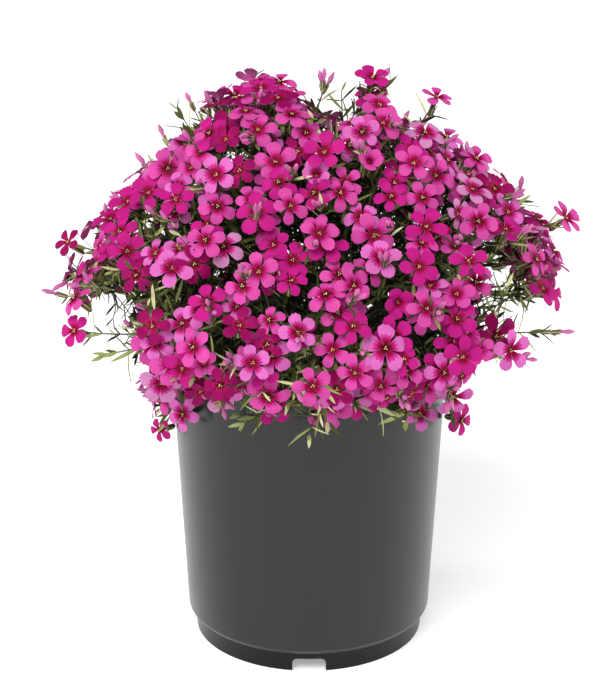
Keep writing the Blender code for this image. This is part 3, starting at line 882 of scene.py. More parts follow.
def grow(name, verts, edges, attributes, tree, **values):
    """An object grown by a tree from points or lines that carry named attributes."""
    mesh = mesh_from(name, verts, [], edges=edges)
    for label, kind, field, numbers in attributes:
        mesh.attributes.new(label, kind, "POINT").data.foreach_set(field, numbers)
    return grown_mesh(new_object(name, mesh), tree, values)


def set_out(name, spots, template, finish, ruffle=0.0, ruffle_width=RUFFLE_WIDTH):
    """One piece: the template on every spot."""
    attributes = []
    for label in ("facing", "along", "size"):
        numbers = [number for spot in spots for number in getattr(spot, label)]
        attributes.append((label, "FLOAT_VECTOR", "vector", numbers))
    return grow(
        name, [spot.at for spot in spots], (), attributes, scatter_tree(),
        Template=template, Finish=finish, Ruffle=ruffle, Ruffle_Width=ruffle_width,
    )


def strew(name, *given):
    """A finished piece of leaf or flower, set out and handed to the masses' nodes."""
    settle(set_out(name, *given), "blossom", *MASS_NODES)


def run_limbs(name, paths, finish, sides, relief_depth=0.0, relief_width=0.003):
    """One piece: round limbs along paths, each a list of points and a list of radii."""
    verts, edges, thick = [], [], []
    for points, radii in paths:
        edges += [(len(verts) + step, len(verts) + step + 1) for step in range(len(points) - 1)]
        verts += points
        thick += radii
    return grow(
        name, verts, edges, [("radius", "FLOAT", "value", thick)], limb_tree(),
        Finish=finish, Sides=sides, Relief=relief_depth, Relief_Width=relief_width,
    )


def taper(first, last, count):
    return [first + (last - first) * step / (count - 1) for step in range(count)]


def resampled(path, count):
    return [point_along(path, step / (count - 1)) for step in range(count)]


# ---- finishes


def finish_tree(name):
    material = bpy.data.materials.new(name)
    material.use_nodes = True
    tree = material.node_tree
    tree.nodes.clear()
    return material, tree, add_node(tree, "ShaderNodeTexCoord", {}).outputs["Object"]


def show(tree, shader):
    add_node(tree, "ShaderNodeOutputMaterial", {"Surface": shader.outputs[0]})


def pattern(tree, where, width, detail=2.0, roughness=0.5):
    """Cloudy noise, 0 to 1, whose patches are a width in metres across."""
    return add_node(tree, "ShaderNodeTexNoise", {
        "Vector": where, "Scale": 1.0 / width, "Detail": detail, "Roughness": roughness,
    }).outputs["Fac"]


def relief(tree, height, depth, strength=1.0):
    """Fine relief for the light alone, from a pattern, its depth in metres."""
    links = {"Height": height, "Distance": depth, "Strength": strength}
    return add_node(tree, "ShaderNodeBump", links).outputs[0]


def spread(tree, value, low, high):
    """Carries a 0 to 1 pattern over to another range."""
    links = {"Value": value, "To Min": low, "To Max": high}
    return add_node(tree, "ShaderNodeMapRange", links).outputs[0]


def two_tone(tree, fac, low, high, half):
    """A colour that drifts between two, where a pattern is within half of its middle."""
    ramp = add_node(tree, "ShaderNodeValToRGB", {"Fac": fac})
    first, second = ramp.color_ramp.elements
    first.position, first.color = 0.5 - half, (*low, 1.0)
    second.position, second.color = 0.5 + half, (*high, 1.0)
    return ramp.outputs["Color"]


# tissue: share of its colour that it darkens to, roughness, share of light let through, and
# depth of its fine relief in metres
Tissue = namedtuple("Tissue", "shade roughness glow vein")
TWIG_SKIN = Tissue(1.0, 0.55, 0.08, 0.0001)
LEAF_SKIN = Tissue(0.8, 0.5, 0.18, 0.0001)
PETAL_SKIN = Tissue(0.86, 0.55, 0.30, 0.00008)
MARK_SKIN = Tissue(0.85, 0.55, 0.25, 0.00008)
BUD_SKIN = Tissue(0.7, 0.5, 0.2, 0.00008)
THROAT_SKIN = Tissue(0.8, 0.5, 0.1, 0.00005)
CUP_SKIN = Tissue(0.8, 0.5, 0.1, 0.0001)
RIB_SKIN = Tissue(0.8, 0.5, 0.2, 0.0001)
TISSUE_DRIFT = 0.012
TISSUE_GRAIN = 0.0009
BARK_STRETCH = (1.0, 1.0, 0.35)
# width and depth of a bark's flakes
PEAT_FLAKES = (0.004, 0.0012)
CHIP_FLAKES = (0.003, 0.0005)
WOOD_FLAKES = (0.0022, 0.0006)
STEM_FLAKES = (0.0012, 0.0002)
FLOW_WIDTH = 0.05
# spark-eroded mould grain
MOULD_GRAIN = 0.0004
MOULD_GRAIN_DEPTH = 0.000012
POT_SPECULAR = 0.33
POT_COAT = 0.25
# share of the pot's specular and coat left on the foot below the step, a painted shade
FOOT_PAINTED_SHADE = 0.45
FOOT_BLEND = 0.001
WHITE = (1.0, 1.0, 1.0, 1.0)


def thin_tissue(name, colour, tissue, low=None):
    """Living tissue thin enough to pass light: petals, leaves, calyces.

    The colour drifts to a darker one over about a centimetre, a fine relief breaks up the
    shine, and some light comes through from behind.
    """
    material, tree, where = finish_tree(name)
    low = low or [value * tissue.shade for value in colour]
    drift = two_tone(tree, pattern(tree, where, TISSUE_DRIFT), low, colour, 0.15)
    grain = pattern(tree, where, TISSUE_GRAIN)
    skin = add_node(tree, "ShaderNodeBsdfPrincipled", {
        "Base Color": drift, "Roughness": tissue.roughness, "IOR": 1.42,
        "Specular IOR Level": 0.1, "Normal": relief(tree, grain, tissue.vein, 0.6),
    })
    through = add_node(tree, "ShaderNodeBsdfTranslucent", {"Color": drift})
    links = {0: tissue.glow, 1: skin.outputs[0], 2: through.outputs[0]}
    show(tree, add_node(tree, "ShaderNodeMixShader", links))
    return material


def rough_bark(name, low, high, groove_width, groove_depth):
    """Bark, or a mix made of it: dull, in flakes drawn out upwards."""
    material, tree, where = finish_tree(name)
    stretched = add_node(tree, "ShaderNodeMapping", {"Vector": where, "Scale": BARK_STRETCH})
    flakes = pattern(tree, stretched.outputs[0], groove_width, 5.0, 0.65)
    show(tree, add_node(tree, "ShaderNodeBsdfPrincipled", {
        "Base Color": two_tone(tree, flakes, low, high, 0.12), "Roughness": 0.85,
        "Normal": relief(tree, flakes, groove_depth),
    }))
    return material


def satin_polypropylene(name, colour):
    """Injection-moulded polypropylene: even charcoal, satin, with a faint drift where it flowed, and
    a painted shade on the foot.
    """
    material, tree, where = finish_tree(name)
    drift = pattern(tree, where, FLOW_WIDTH, 3.0)
    # the node's share, and the two colours that it multiplies
    links = {0: 1.0, 6: (*colour, 1.0), 7: spread(tree, drift, 0.90, 1.10)}
    tinted = add_node(tree, "ShaderNodeMix", links, data_type="RGBA", blend_type="MULTIPLY")
    grain = pattern(tree, where, MOULD_GRAIN)
    # painted shade: the foot below the step has its specular and coat cut, so it gives back less
    # light where it faces the shaded floor
    rise = add_node(tree, "ShaderNodeSeparateXYZ", {"Vector": where})
    body = add_node(tree, "ShaderNodeMapRange", {
        "Value": rise.outputs["Z"], "From Min": STEP_HEIGHT - FOOT_BLEND, "From Max": STEP_HEIGHT,
        "To Min": FOOT_PAINTED_SHADE, "To Max": 1.0,
    }).outputs[0]
    level, coat = [
        add_node(tree, "ShaderNodeMath", {0: body, 1: share}, operation="MULTIPLY").outputs[0]
        for share in (POT_SPECULAR, POT_COAT)
    ]
    show(tree, add_node(tree, "ShaderNodeBsdfPrincipled", {
        "Base Color": tinted.outputs[2], "Roughness": spread(tree, drift, 0.30, 0.38),
        "IOR": 1.49, "Specular IOR Level": level, "Coat Weight": coat, "Coat Roughness": 0.12,
        "Normal": relief(tree, grain, MOULD_GRAIN_DEPTH),
    }))
    return material


def plain_paper(name, colour, glow):
    """Matt studio paper: a floor that reads as one pale field, brighter away from the pot."""
    material, tree, where = finish_tree(name)
    clouds = pattern(tree, where, 0.4)
    drift = two_tone(tree, clouds, [value * 0.985 for value in colour], colour, 0.15)
    away = add_node(tree, "ShaderNodeVectorMath", {"Vector": where}, operation="LENGTH")
    lift = add_node(tree, "ShaderNodeMapRange", {
        "Value": away.outputs["Value"], "From Min": 0.4, "From Max": 1.8,
        "To Min": glow, "To Max": glow + 0.4,
    })
    show(tree, add_node(tree, "ShaderNodeBsdfPrincipled", {
        "Base Color": drift, "Roughness": 0.9, "Emission Color": WHITE,
        "Emission Strength": lift.outputs[0],
    }))
    return material


# ---- settings


def colour_setting(name, code, description):
    return FloatVectorProperty(
        name=name, description=description, default=linear(code), subtype="COLOR",
        size=3, min=0.0, max=1.0,
    )


def length_setting(name, default, description):
    return FloatProperty(
        name=name, description=description, default=default, min=0.0, unit="LENGTH",
        subtype="DISTANCE", precision=4,
    )


def number_setting(name, default, description, **rest):
    return FloatProperty(name=name, description=description, default=default, min=0.0, **rest)


class PhloxPotSettings(bpy.types.PropertyGroup):
    """Pot and growing mix"""
    pot_steps: IntProperty(
        name="Pot Steps", description="Straight sides round the turned pot", default=144, min=24
    )
    pot_colour: colour_setting("Pot", "#0C0C0E", "Moulded charcoal plastic of the pot")
    mix_dark: colour_setting("Mix Dark", "#2A1D15", "Wet, shaded parts of the growing mix")
    mix_light: colour_setting("Mix Light", "#5A4130", "Dry parts of the growing mix")
    chip_colour: colour_setting("Chips", "#6E4C33", "Composted bark chips on the mix")
    chip_size: length_setting("Chip Size", 0.0045, "Length of a bark chip")
    chip_density: number_setting("Chip Density", 65000.0, "Bark chips on each square metre")


class PhloxWoodSettings(bpy.types.PropertyGroup):
    """Stock, boughs, stems and twigs"""
    bark_dark: colour_setting("Bark Dark", "#33261B", "Grooves of the bark")
    bark_light: colour_setting("Bark Light", "#6B5640", "Ridges of the bark")
    twig_low: colour_setting("Twig Dark", "#3F2F2B", "Shaded, purple side of a green twig")
    twig_high: colour_setting("Twig Light", "#6B6A42", "Lit, green side of a twig")
    bark_relief: length_setting("Bark Relief", 0.0008, "Height of the bark's relief")
    twig_radius: length_setting("Twig Radius", 0.00055, "Radius of a main twig at its root")


class PhloxLeafSettings(bpy.types.PropertyGroup):
    """Leaves"""
    leaf_length: length_setting("Leaf Length", 0.0150, "Length of a full-grown leaf")
    leaf_width: length_setting("Leaf Width", 0.0022, "Width of a leaf at its widest")
    # deep olive: old leaves, and on the leaves inside the crown a painted shade
    deep: colour_setting("Deep Leaves", "#21271A", "Old and shaded leaves, deep olive")
    olive: colour_setting("Olive Leaves", "#5A6536", "Most leaves")
    fresh: colour_setting("Fresh Leaves", "#A6B06C", "Young leaves near the tips")
    pale: colour_setting("Pale Leaves", "#DADBA4", "Leaves turned yellow green")


class PhloxFlowerSettings(bpy.types.PropertyGroup):
    """Flowers and buds"""
    light_pink: colour_setting("Light Pink", "#E274C6", "Flowers open longest")
    clear_pink: colour_setting("Clear Pink", "#DC52AA", "Most flowers")
    magenta: colour_setting("Magenta", "#C61E88", "Flowers newly open")
    rose: colour_setting("Rose", "#9A085C", "Deepest flowers")
    faded: colour_setting("Faded Pink", "#D88EC2", "Flowers bleached by the sun")
    back_pink: colour_setting("Petal Backs", "#D968B4", "Paler back of a petal")
    blush: colour_setting("Blush", "#D03898", "Deeper pink over a pale petal's inner half")
    halo: colour_setting("Halo", "#B41462", "Deep rose round the crimson rays")
    flush: colour_setting("Flush", "#8A0632", "Crimson rays at a petal's foot")
    eye: colour_setting("Eye", "#38010A", "Maroon ring round the throat")
    anther: colour_setting("Anthers", "#E6C284", "Cream anthers in the throat")
    tube: colour_setting("Tubes", "#B0567F", "Slim tube behind a flower")
    calyx: colour_setting("Calyces", "#6F7147", "Grey-green cup that holds a flower")
    rib: colour_setting("Calyx Ribs", "#D8CDA6", "Pale ribs and edges of a calyx")
    bud: colour_setting("Buds", "#DA77B4", "Furled buds")
    petal_ruffle: length_setting("Petal Ruffle", 0.0016, "How far petals wander from flat")


class PhloxStageSettings(bpy.types.PropertyGroup):
    """Floor, light and camera"""
    paper: colour_setting("Paper", "#F4F4F4", "Pale floor")
    sky_strength: number_setting("Room Light", 0.25, "Even light from all round")
    key_power: number_setting("Key Power", 49.0, "Large soft light above the camera", unit="POWER")
    side_power: number_setting("Side Power", 9.0, "Tall soft light at each side", unit="POWER")
    lens: number_setting("Lens", 112.63, "Focal length of the camera, millimetres")


# ---- pot and growing mix


def turned(name, profile, steps):
    """A turned solid from its half section, listed round it from the inside."""
    verts, rings, faces = [], [], []
    for radius, height in profile:
        count = 1 if radius == 0.0 else steps
        rings.append((len(verts), count))
        verts += [polar(radius, tau * step / steps, height) for step in range(count)]
    for (first, count), (second, after_count) in zip(rings, rings[1:]):
        for step in range(steps):
            after = (step + 1) % steps
            quad = [first + step % count, second + step % after_count]
            quad += [second + after % after_count, first + after % count]
            faces.append(tuple(dict.fromkeys(quad)))
    return repaired(name, verts, faces, turn_outwards)


def corner(x, z, radius, first, last, count):
    """Points of a rounded corner of a section, angles in degrees."""
    angles = [radians(first + (last - first) * step / (count - 1)) for step in range(count)]
    return [(x + radius * cos(angle), z + radius * sin(angle)) for angle in angles]


def pot_section():
    """Half section of the pot: inside from the floor up, over the lip, down and under."""
    floor_top = CHANNEL_HEIGHT + FLOOR_THICKNESS
    hub_inside = HUB_RADIUS - FLOOR_THICKNESS
    lip_low = POT_HEIGHT - LIP_DEPTH
    lip_middle = LIP_RADIUS - LIP_ROUND
    lip_rise = POT_HEIGHT - LIP_ROUND
    inner_top = WALL_TOP_RADIUS - WALL_THICKNESS
    floor_edge = WALL_BASE_RADIUS - WALL_THICKNESS - FLOOR_CORNER
    inner_foot = FOOT_RADIUS - FOOT_RING_WIDTH
    return [
        (0.0, FLOOR_THICKNESS),
        (hub_inside, FLOOR_THICKNESS),
        (hub_inside + HUB_DRAFT, floor_top),
        (floor_edge, floor_top),
        *corner(floor_edge, floor_top + FLOOR_CORNER, FLOOR_CORNER, -70, 0, 5),
        *corner(inner_top + LIP_ROUND, lip_rise, LIP_ROUND, 180, 90, 5),
        *corner(lip_middle, lip_rise, LIP_ROUND, 90, 0, 5),
        *corner(lip_middle, lip_low + LIP_ROUND, LIP_ROUND, 0, -80, 4),
        (WALL_TOP_RADIUS, lip_low - 0.0001),
        *corner(WALL_BASE_RADIUS - STEP_ROUND, STEP_HEIGHT + STEP_ROUND, STEP_ROUND, 0, -84, 9),
        (FOOT_TOP_RADIUS + 0.0002, STEP_HEIGHT - CLEARANCE),
        (FOOT_TOP_RADIUS, STEP_HEIGHT - 0.0009),
        (FOOT_RADIUS, FOOT_EDGE),
        (FOOT_RADIUS - FOOT_EDGE, 0.0),
        (inner_foot, 0.0),
        (inner_foot + CLEARANCE, CHANNEL_HEIGHT),
        (HUB_RADIUS + HUB_DRAFT, CHANNEL_HEIGHT),
        (HUB_RADIUS, 0.0),
        (0.0, 0.0),
    ]


def notch_blocks():
    """Round-topped blocks that cut the drain notches through the foot ring."""
    half = NOTCH_WIDTH / 2.0
    top = NOTCH_HEIGHT - NOTCH_ROUND
    outline = [(-half, -FLOOR_THICKNESS), (half, -FLOOR_THICKNESS)]
    outline += corner(half - NOTCH_ROUND, top, NOTCH_ROUND, 0, 90, 6)
    outline += corner(-half + NOTCH_ROUND, top, NOTCH_ROUND, 90, 180, 6)
    verts, faces = [], []
    count = len(outline)
    for index in range(NOTCH_COUNT):
        turn = -pi / 2.0 + index * tau / NOTCH_COUNT
        out = polar(1.0, turn, 0.0)
        side = polar(1.0, turn + pi / 2.0, 0.0)
        start = len(verts)
        for reach in NOTCH_REACH:
            for across, height in outline:
                verts.append(out * reach + side * across + Vector((0.0, 0.0, height)))
        faces.append([start + step for step in reversed(range(count))])
        faces.append([start + count + step for step in range(count)])
        faces += band_faces(start, count)
    return new_object("notch_blocks", mesh_from("notch_blocks", verts, faces))


class PHLOX_OT_pot(bpy.types.Operator):
    """Turn the nursery pot and cut its drain notches"""
    bl_idname = "phlox.pot"
    bl_label = "Nursery Pot"

    def execute(self, context):
        look = context.scene.phlox_pot
        pot = turned("nursery_pot", pot_section(), look.pot_steps)
        blocks = notch_blocks()
        cut = pot.modifiers.new("notches", "BOOLEAN")
        cut.operation = "DIFFERENCE"
        cut.solver = "EXACT"
        cut.object = blocks
        applied(pot)
        bpy.data.objects.remove(blocks)
        pot.data.shade_smooth()
        pot.data.set_sharp_from_angle(angle=POT_CREASE)
        pot.data.materials.clear()
        pot.data.materials.append(satin_polypropylene("charcoal_polypropylene", look.pot_colour))
        settle(pot, "pot", "pot")
        return {"FINISHED"}


class PHLOX_OT_growing_mix(bpy.types.Operator):
    """Lay the bed of growing mix and strew bark chips on it"""
    bl_idname = "phlox.growing_mix"
    bl_label = "Growing Mix"

    def execute(self, context):
        look = context.scene.phlox_pot
        section = []
        for step in range(MIX_RINGS + 1):
            share = step / MIX_RINGS
            section.append((MIX_RADIUS * share, mix_top(share)))
        section += [(MIX_RADIUS - inwards, height) for inwards, height in MIX_SIDES]
        section.append((0.0, MIX_FLOOR))
        bed = turned("growing_mix_bed", section, MIX_STEPS)
        rng = random.Random(SEED * 7001)
        for vert in bed.data.vertices:
            on_top = vert.co.z > SOIL_TOP - MIX_TOP_DEPTH
            if on_top and hypot(vert.co.x, vert.co.y) < MIX_RADIUS * MIX_ROUGH_SHARE:
                vert.co.z += rng.uniform(-MIX_RELIEF, MIX_RELIEF)
        peat = rough_bark("peat_mix", look.mix_dark, look.mix_light, *PEAT_FLAKES)
        bed.data.materials.append(peat)
        settle(bed, "growing_mix", "growing_mix")
        shard = shard_template()
        bark = rough_bark("composted_bark", look.mix_dark, look.chip_colour, *CHIP_FLAKES)
        settle(set_out("bark_chips", chip_spots(look), shard, bark), "growing_mix", "growing_mix")
        bpy.data.objects.remove(shard)
        return {"FINISHED"}


def mix_top(share):
    """Height of the growing mix a share of the way out to the wall."""
    return SOIL_CROWN + (SOIL_TOP - SOIL_CROWN) * share ** 2


def chip_spots(look):
    """Bark chips dealt evenly over the mix, outside the foot of the stock."""
    spots = []
    for index in range(int(look.chip_density * (pi * MIX_RADIUS ** 2))):
        rng = random.Random(SEED * 7103 + index)
        reach = (MIX_RADIUS - CHIP_EDGE) * sqrt(rng.random())
        at = polar(reach, rng.uniform(0.0, tau), 0.0)
        at.z = mix_top(at.length / MIX_RADIUS) + CHIP_LIFT
        if at.xy.length < stock_radius(SOIL_CROWN) + STOCK_FLARE:
            continue
        tilt = [rng.uniform(-CHIP_TILT, CHIP_TILT) for _ in range(2)]
        size = look.chip_size * rng.uniform(*CHIP_SIZES)
        along = polar(1.0, rng.uniform(0.0, tau), 0.0)
        size_along = (size, size * rng.uniform(*CHIP_WIDTHS), size)
        spots.append(Spot(at, Vector((*tilt, 1.0)).normalized(), along, size_along))
    return spots


def shard_template():
    """A flat, broken flake of bark, one unit long."""
    count = len(SHARD_OUTLINE)
    verts = [(x * SHARD_UNDER, y * SHARD_UNDER, -SHARD_HALF) for x, y in SHARD_OUTLINE]
    verts += [(x, y, SHARD_HALF) for x, y in SHARD_OUTLINE]
    faces = [tuple(reversed(range(count))), tuple(range(count, 2 * count))]
    faces += band_faces(0, count)
    return new_object("shard", mesh_from("shard", verts, faces, smooth=False))


# ---- wood


class PHLOX_OT_wood(bpy.types.Operator):
    """Grow the stock and the boughs, with the bark's relief"""
    bl_idname = "phlox.wood"
    bl_label = "Stock and Boughs"

    def execute(self, context):
        look = context.scene.phlox_wood
        bark = rough_bark("fibrous_bark", look.bark_dark, look.bark_light, *WOOD_FLAKES)
        heights = taper(SOIL_CROWN - STOCK_SINK, STOCK_TOP + STOCK_RISE, STOCK_RINGS)
        radii = [stock_radius(height) for height in heights]
        radii[0] += STOCK_FLARE
        radii[1] += STOCK_FLARE * FLARE_EASE
        radii[-1] *= STOCK_DRAW_IN
        path = [Vector((0.0, 0.0, height)) for height in heights]
        depth = look.bark_relief * STOCK_RELIEF_SHARE
        paths = [(path, radii)]
        stock = run_limbs("woody_stock", paths, bark, STOCK_SIDES, depth, STOCK_RELIEF_WIDTH)
        settle(stock, "wood", "stock")
        paths = []
        for mass in grown_crown()[0]:
            start = mass.bough[0] - (mass.bough[1] - mass.bough[0]).normalized() * BOUGH_ROOT
            thick = BOUGH_BASE_RADIUS * BOUGH_ROOT_SHARE
            radii = taper(thick, BOUGH_TIP_RADIUS, BOUGH_RINGS + 1)
            paths.append(([start] + resampled(mass.bough, BOUGH_RINGS), radii))
        depth = look.bark_relief
        boughs = run_limbs("woody_boughs", paths, bark, BOUGH_SIDES, depth, BOUGH_RELIEF_WIDTH)
        settle(boughs, "wood", *BOUGH_NODES)
        return {"FINISHED"}


class PHLOX_OT_twigs(bpy.types.Operator):
    """Grow the masses' stems and every twig on them"""
    bl_idname = "phlox.twigs"
    bl_label = "Stems and Twigs"

    def execute(self, context):
        look = context.scene.phlox_wood
        masses, shoots, finer = grown_crown()
        bark = rough_bark("young_bark", look.bark_dark, look.bark_light, *STEM_FLAKES)
        radii = taper(*STEM_RADII, STEM_RINGS)
        stems = [(resampled(mass.stem, STEM_RINGS), radii) for mass in masses]
        stems = run_limbs("mass_stems", stems, bark, STEM_SIDES, *STEM_RELIEF)
        settle(stems, "wood", *MASS_NODES)
        green = thin_tissue("green_twig", look.twig_high, TWIG_SKIN, look.twig_low)
        paths = []
        for rows, shares in ((shoots, TWIG_TAPER), (finer, FINER_TAPER)):
            radii = taper(*[look.twig_radius * share for share in shares], TWIG_POINTS)
            paths += [(row.path, radii) for row in rows]
        settle(run_limbs("twigs", paths, green, TWIG_SIDES), "wood", *MASS_NODES)
        return {"FINISHED"}


# ---- leaves


def grid_faces(rows, columns):
    faces = []
    for row in range(rows - 1):
        for column in range(columns - 1):
            first = row * columns + column
            faces.append((first, first + columns, first + columns + 1, first + 1))
    return faces


def sheet_template(name, lengths, columns, place):
    """A thin sheet from rows along it and places across it."""
    verts = [place(share, across) for share in lengths for across in columns]
    return repaired(name, verts, grid_faces(len(lengths), len(columns)), weld, turn_upwards)


def interpolate(table, share):
    for (first, low), (second, high) in zip(table, table[1:]):
        if share <= second:
            return low + (high - low) * (share - first) / (second - first)
    return table[-1][1]


LEAF_WIDTHS = ((0.0, 0.28), (0.25, 0.80), (0.50, 1.0), (0.80, 0.62), (1.0, 0.0))
LEAF_ROWS = (0.0, 0.28, 0.55, 0.8, 1.0)
LEAF_FOLD = 0.025


def leaf_template(bend):
    """A narrow pointed leaf folded along its midrib, one unit long and wide."""
    def place(share, across):
        half = interpolate(LEAF_WIDTHS, share) * 0.5
        return (share, across * half, abs(across) * LEAF_FOLD + bend * share ** 2)
    return sheet_template("leaf", LEAF_ROWS, (-1.0, 0.0, 1.0), place)


# each tint's bend along the leaf, down where it is below 0
LEAF_BENDS = {"deep": -0.10, "olive": -0.05, "fresh": 0.08, "pale": -0.16}
# radians that a pair strays from its quarter turn, and a leaf from its pair
PAIR_STRAY = 0.4
LEAF_STRAY = 0.25
# radians that leaves lean out from their shoot, and their shares of full length and width
LEAF_LEANS = (0.45, 1.25)
LEAF_LENGTHS = (0.62, 1.12)
LEAF_BREADTHS = (0.8, 1.15)
# where on a shoot its leaves begin, and how far up they run with a flower and without
LEAF_START = 0.12
LEAF_RUN = (0.74, 0.87)
# share of a shoot's length that pairs are counted on, their least number, and the step along
# the shoot that shows which way it grows
LEAF_PAIR_SHARE = 0.85
FEWEST_PAIRS = 3
LEAF_AHEAD = 0.05
# a leaf under a flower ends this near its tip, in shares of the way there
LEAF_PAST_TIP = 1.05
# cosine past which a leaf counts as lying along its shoot
LEAF_ALONG = 0.95
# how far leaves wander from flat, and over what width
LEAF_RUFFLE = (0.0012, 0.010)
# past this share of a shoot, leaves are shorter and lie closer
NEAR_TIP = 0.8
NEAR_TIP_LENGTH = 0.55
NEAR_TIP_LEAN = 0.6
# how much longer and wider the leaves of a lone leafy tip are
TUFT_GROWTH = (1.25, 1.35)
# a leaf's tint is the first whose limit its draw is under, and else pale; draws gain towards
# the tips and in one place, and lose inside the crown, where the darker tints are a painted shade
TIP_GAIN = 0.22
LEAF_SHARES = (("deep", 0.22), ("olive", 0.62), ("fresh", 0.92))
SHADED_LOSS = 0.50
YELLOW_PLACE = ThinPlace(Vector((0.005, -0.095, 0.176)), 0.055, 0.32)


def leaves_on(row, look, spots):
    """Opposite pairs up a shoot, each pair a quarter turn on from the last."""
    rng = random.Random(SEED * 9001 + row.order)
    length = sum((b - a).length for a, b in zip(row.path, row.path[1:]))
    pairs = max(int(length * LEAF_PAIR_SHARE / LEAF_PAIR_STEP), FEWEST_PAIRS)
    turn = rng.uniform(0.0, tau)
    for pair in range(pairs):
        share = LEAF_START + LEAF_RUN[0 if row.radius else 1] * pair / (pairs - 1)
        high = share > NEAR_TIP
        at = point_along(row.path, share)
        ahead = point_along(row.path, min(share + LEAF_AHEAD, 1.0))
        ahead -= point_along(row.path, share - LEAF_AHEAD)
        ahead.normalize()
        side = ahead.orthogonal().normalized()
        turn += pi / 2.0 + rng.uniform(-PAIR_STRAY, PAIR_STRAY)
        for half in range(2):
            out = swung(side, ahead, turn + pi * half + rng.uniform(-LEAF_STRAY, LEAF_STRAY))
            lean = rng.uniform(*LEAF_LEANS) * (NEAR_TIP_LEAN if high else 1.0)
            aim = (ahead * cos(lean) + out * sin(lean)).normalized()
            reach = look.leaf_length * rng.uniform(*LEAF_LENGTHS) * (NEAR_TIP_LENGTH if high else 1.0)
            if row.radius:
                reach = min(reach, (row.path[-1] - at).length * LEAF_PAST_TIP)
            width = look.leaf_width * rng.uniform(*LEAF_BREADTHS)
            if row.leaves > 2:
                reach, width = reach * TUFT_GROWTH[0], width * TUFT_GROWTH[1]
            if not off_the_pot(at + aim * reach):
                continue
            upper = ahead if abs(ahead.dot(aim)) < LEAF_ALONG else out
            upper = (upper - aim * upper.dot(aim)).normalized()
            tint = leaf_tint(rng.random() + TIP_GAIN * (share - 0.5), at, row.shaded)
            spots[tint].append(Spot(at, upper, aim, (reach, width, reach)))


def leaf_tint(draw, at, shaded):
    """Leaves are younger and paler towards the tips, and darker inside the crown, a painted shade."""
    if (at - YELLOW_PLACE.middle).length < YELLOW_PLACE.reach:
        draw += YELLOW_PLACE.share
    draw -= SHADED_LOSS if shaded else 0.0
    for tint, limit in LEAF_SHARES:
        if draw < limit:
            return tint
    return "pale"


class PHLOX_OT_leaves(bpy.types.Operator):
    """Set narrow leaves in pairs up every twig"""
    bl_idname = "phlox.leaves"
    bl_label = "Leaves"

    def execute(self, context):
        look = context.scene.phlox_leaf
        _, shoots, finer = grown_crown()
        spots = {tint: [] for tint in LEAF_BENDS}
        for row in shoots + finer:
            leaves_on(row, look, spots)
        for tint, bend in LEAF_BENDS.items():
            template = leaf_template(bend)
            skin = thin_tissue("leaf_blade_" + tint, getattr(look, tint), LEAF_SKIN)
            strew("leaves_" + tint, spots[tint], template, skin, *LEAF_RUFFLE)
            bpy.data.objects.remove(template)
        return {"FINISHED"}


# ---- flowers


PETAL_REACH = (0.84, 1.0)
# degrees that petals rise off flat, and those of the few flowers that are still cupped
PETAL_RISE = (-10.0, 16.0)
CUPPED_RISE = (30.0, 48.0)
CUPPED_SHARE = 0.03
# how far one petal differs from the next: radians round the flower, degrees of rise, roll,
# and shares of its length and breadth
PETAL_STRAY = 0.07
PETAL_TILT = 7.0
PETAL_ROLL = 0.16
PETAL_LENGTHS = (0.94, 1.05)
PETAL_BREADTHS = (0.84, 1.06)
EYE_LIFT = 0.0004
ANTHER_STRAY = 0.4
ANTHER_OUT = 0.0007
ANTHER_LIFT = (0.0006, 0.0012)
ANTHER_SIZE = (0.00055, 0.0004, 0.0004)
TUBE_RADIUS = 0.0009
CUP_RADIUS = 0.0020
CUP_LENGTH = 0.0105
CUP_BACK = 0.0135
# a petal's shape, in shares of its length: its notch and rounded corners, how it arches up
# and then droops, and the crease down its middle
PETAL_FOOT = 0.06
PETAL_NOTCH = 0.045
PETAL_NOTCH_HALF = 0.45
PETAL_CORNER = 0.07
PETAL_ARCH = 0.075
PETAL_DROOP = 0.05
PETAL_CREASE = 0.022
PETAL_WIDTHS = (
    (0.0, 0.060), (0.15, 0.105), (0.32, 0.195), (0.48, 0.280), (0.64, 0.335), (0.80, 0.350),
    (0.92, 0.295), (1.0, 0.180),
)


def petal_place(share, across, lift):
    """A point of the petal: narrow claw, broad end, shallow notch, a crease down the middle."""
    notch = PETAL_NOTCH * (1.0 - min(abs(across) / PETAL_NOTCH_HALF, 1.0))
    corner_cut = PETAL_CORNER * max(abs(across) - 0.5, 0.0) * 2.0
    x = PETAL_FOOT + (1.0 - notch - corner_cut - PETAL_FOOT) * share
    y = interpolate(PETAL_WIDTHS, share) * across
    crease = PETAL_CREASE * (1.0 - abs(across)) * share
    return (x, y, PETAL_ARCH * sin(pi * share) - PETAL_DROOP * share ** 2 - crease + lift)


COLUMNS = (-1.0, -0.5, 0.0, 0.5, 1.0)


def petal_template(name, lengths, lift):
    return sheet_template(name, lengths, COLUMNS, lambda s, t: petal_place(s, t, lift))


def mark_template(name, outline, lift):
    """A mark on a petal's foot: rows of reach and half width, the last cut into rays."""
    def place(step, across):
        reach, half, ray = outline[step]
        if across in (-0.5, 0.5):
            reach -= ray
        share = (reach - PETAL_FOOT) / (1.0 - PETAL_FOOT)
        wide = interpolate(PETAL_WIDTHS, share)
        return (reach, across * half, petal_place(share, across * half / wide, lift)[2])
    return sheet_template(name, range(len(outline)), COLUMNS, place)


FLOWER_TINTS = ("light_pink", "clear_pink", "magenta", "rose", "faded")
PALE_TINTS = ("light_pink", "clear_pink", "faded")
TINT_SHARES = (("light_pink", 0.20), ("clear_pink", 0.58), ("magenta", 0.86))
FADED_ELSEWHERE = 0.025
FADED_PLACE = ThinPlace(Vector((0.074, -0.035, 0.292)), 0.034, 0.62)


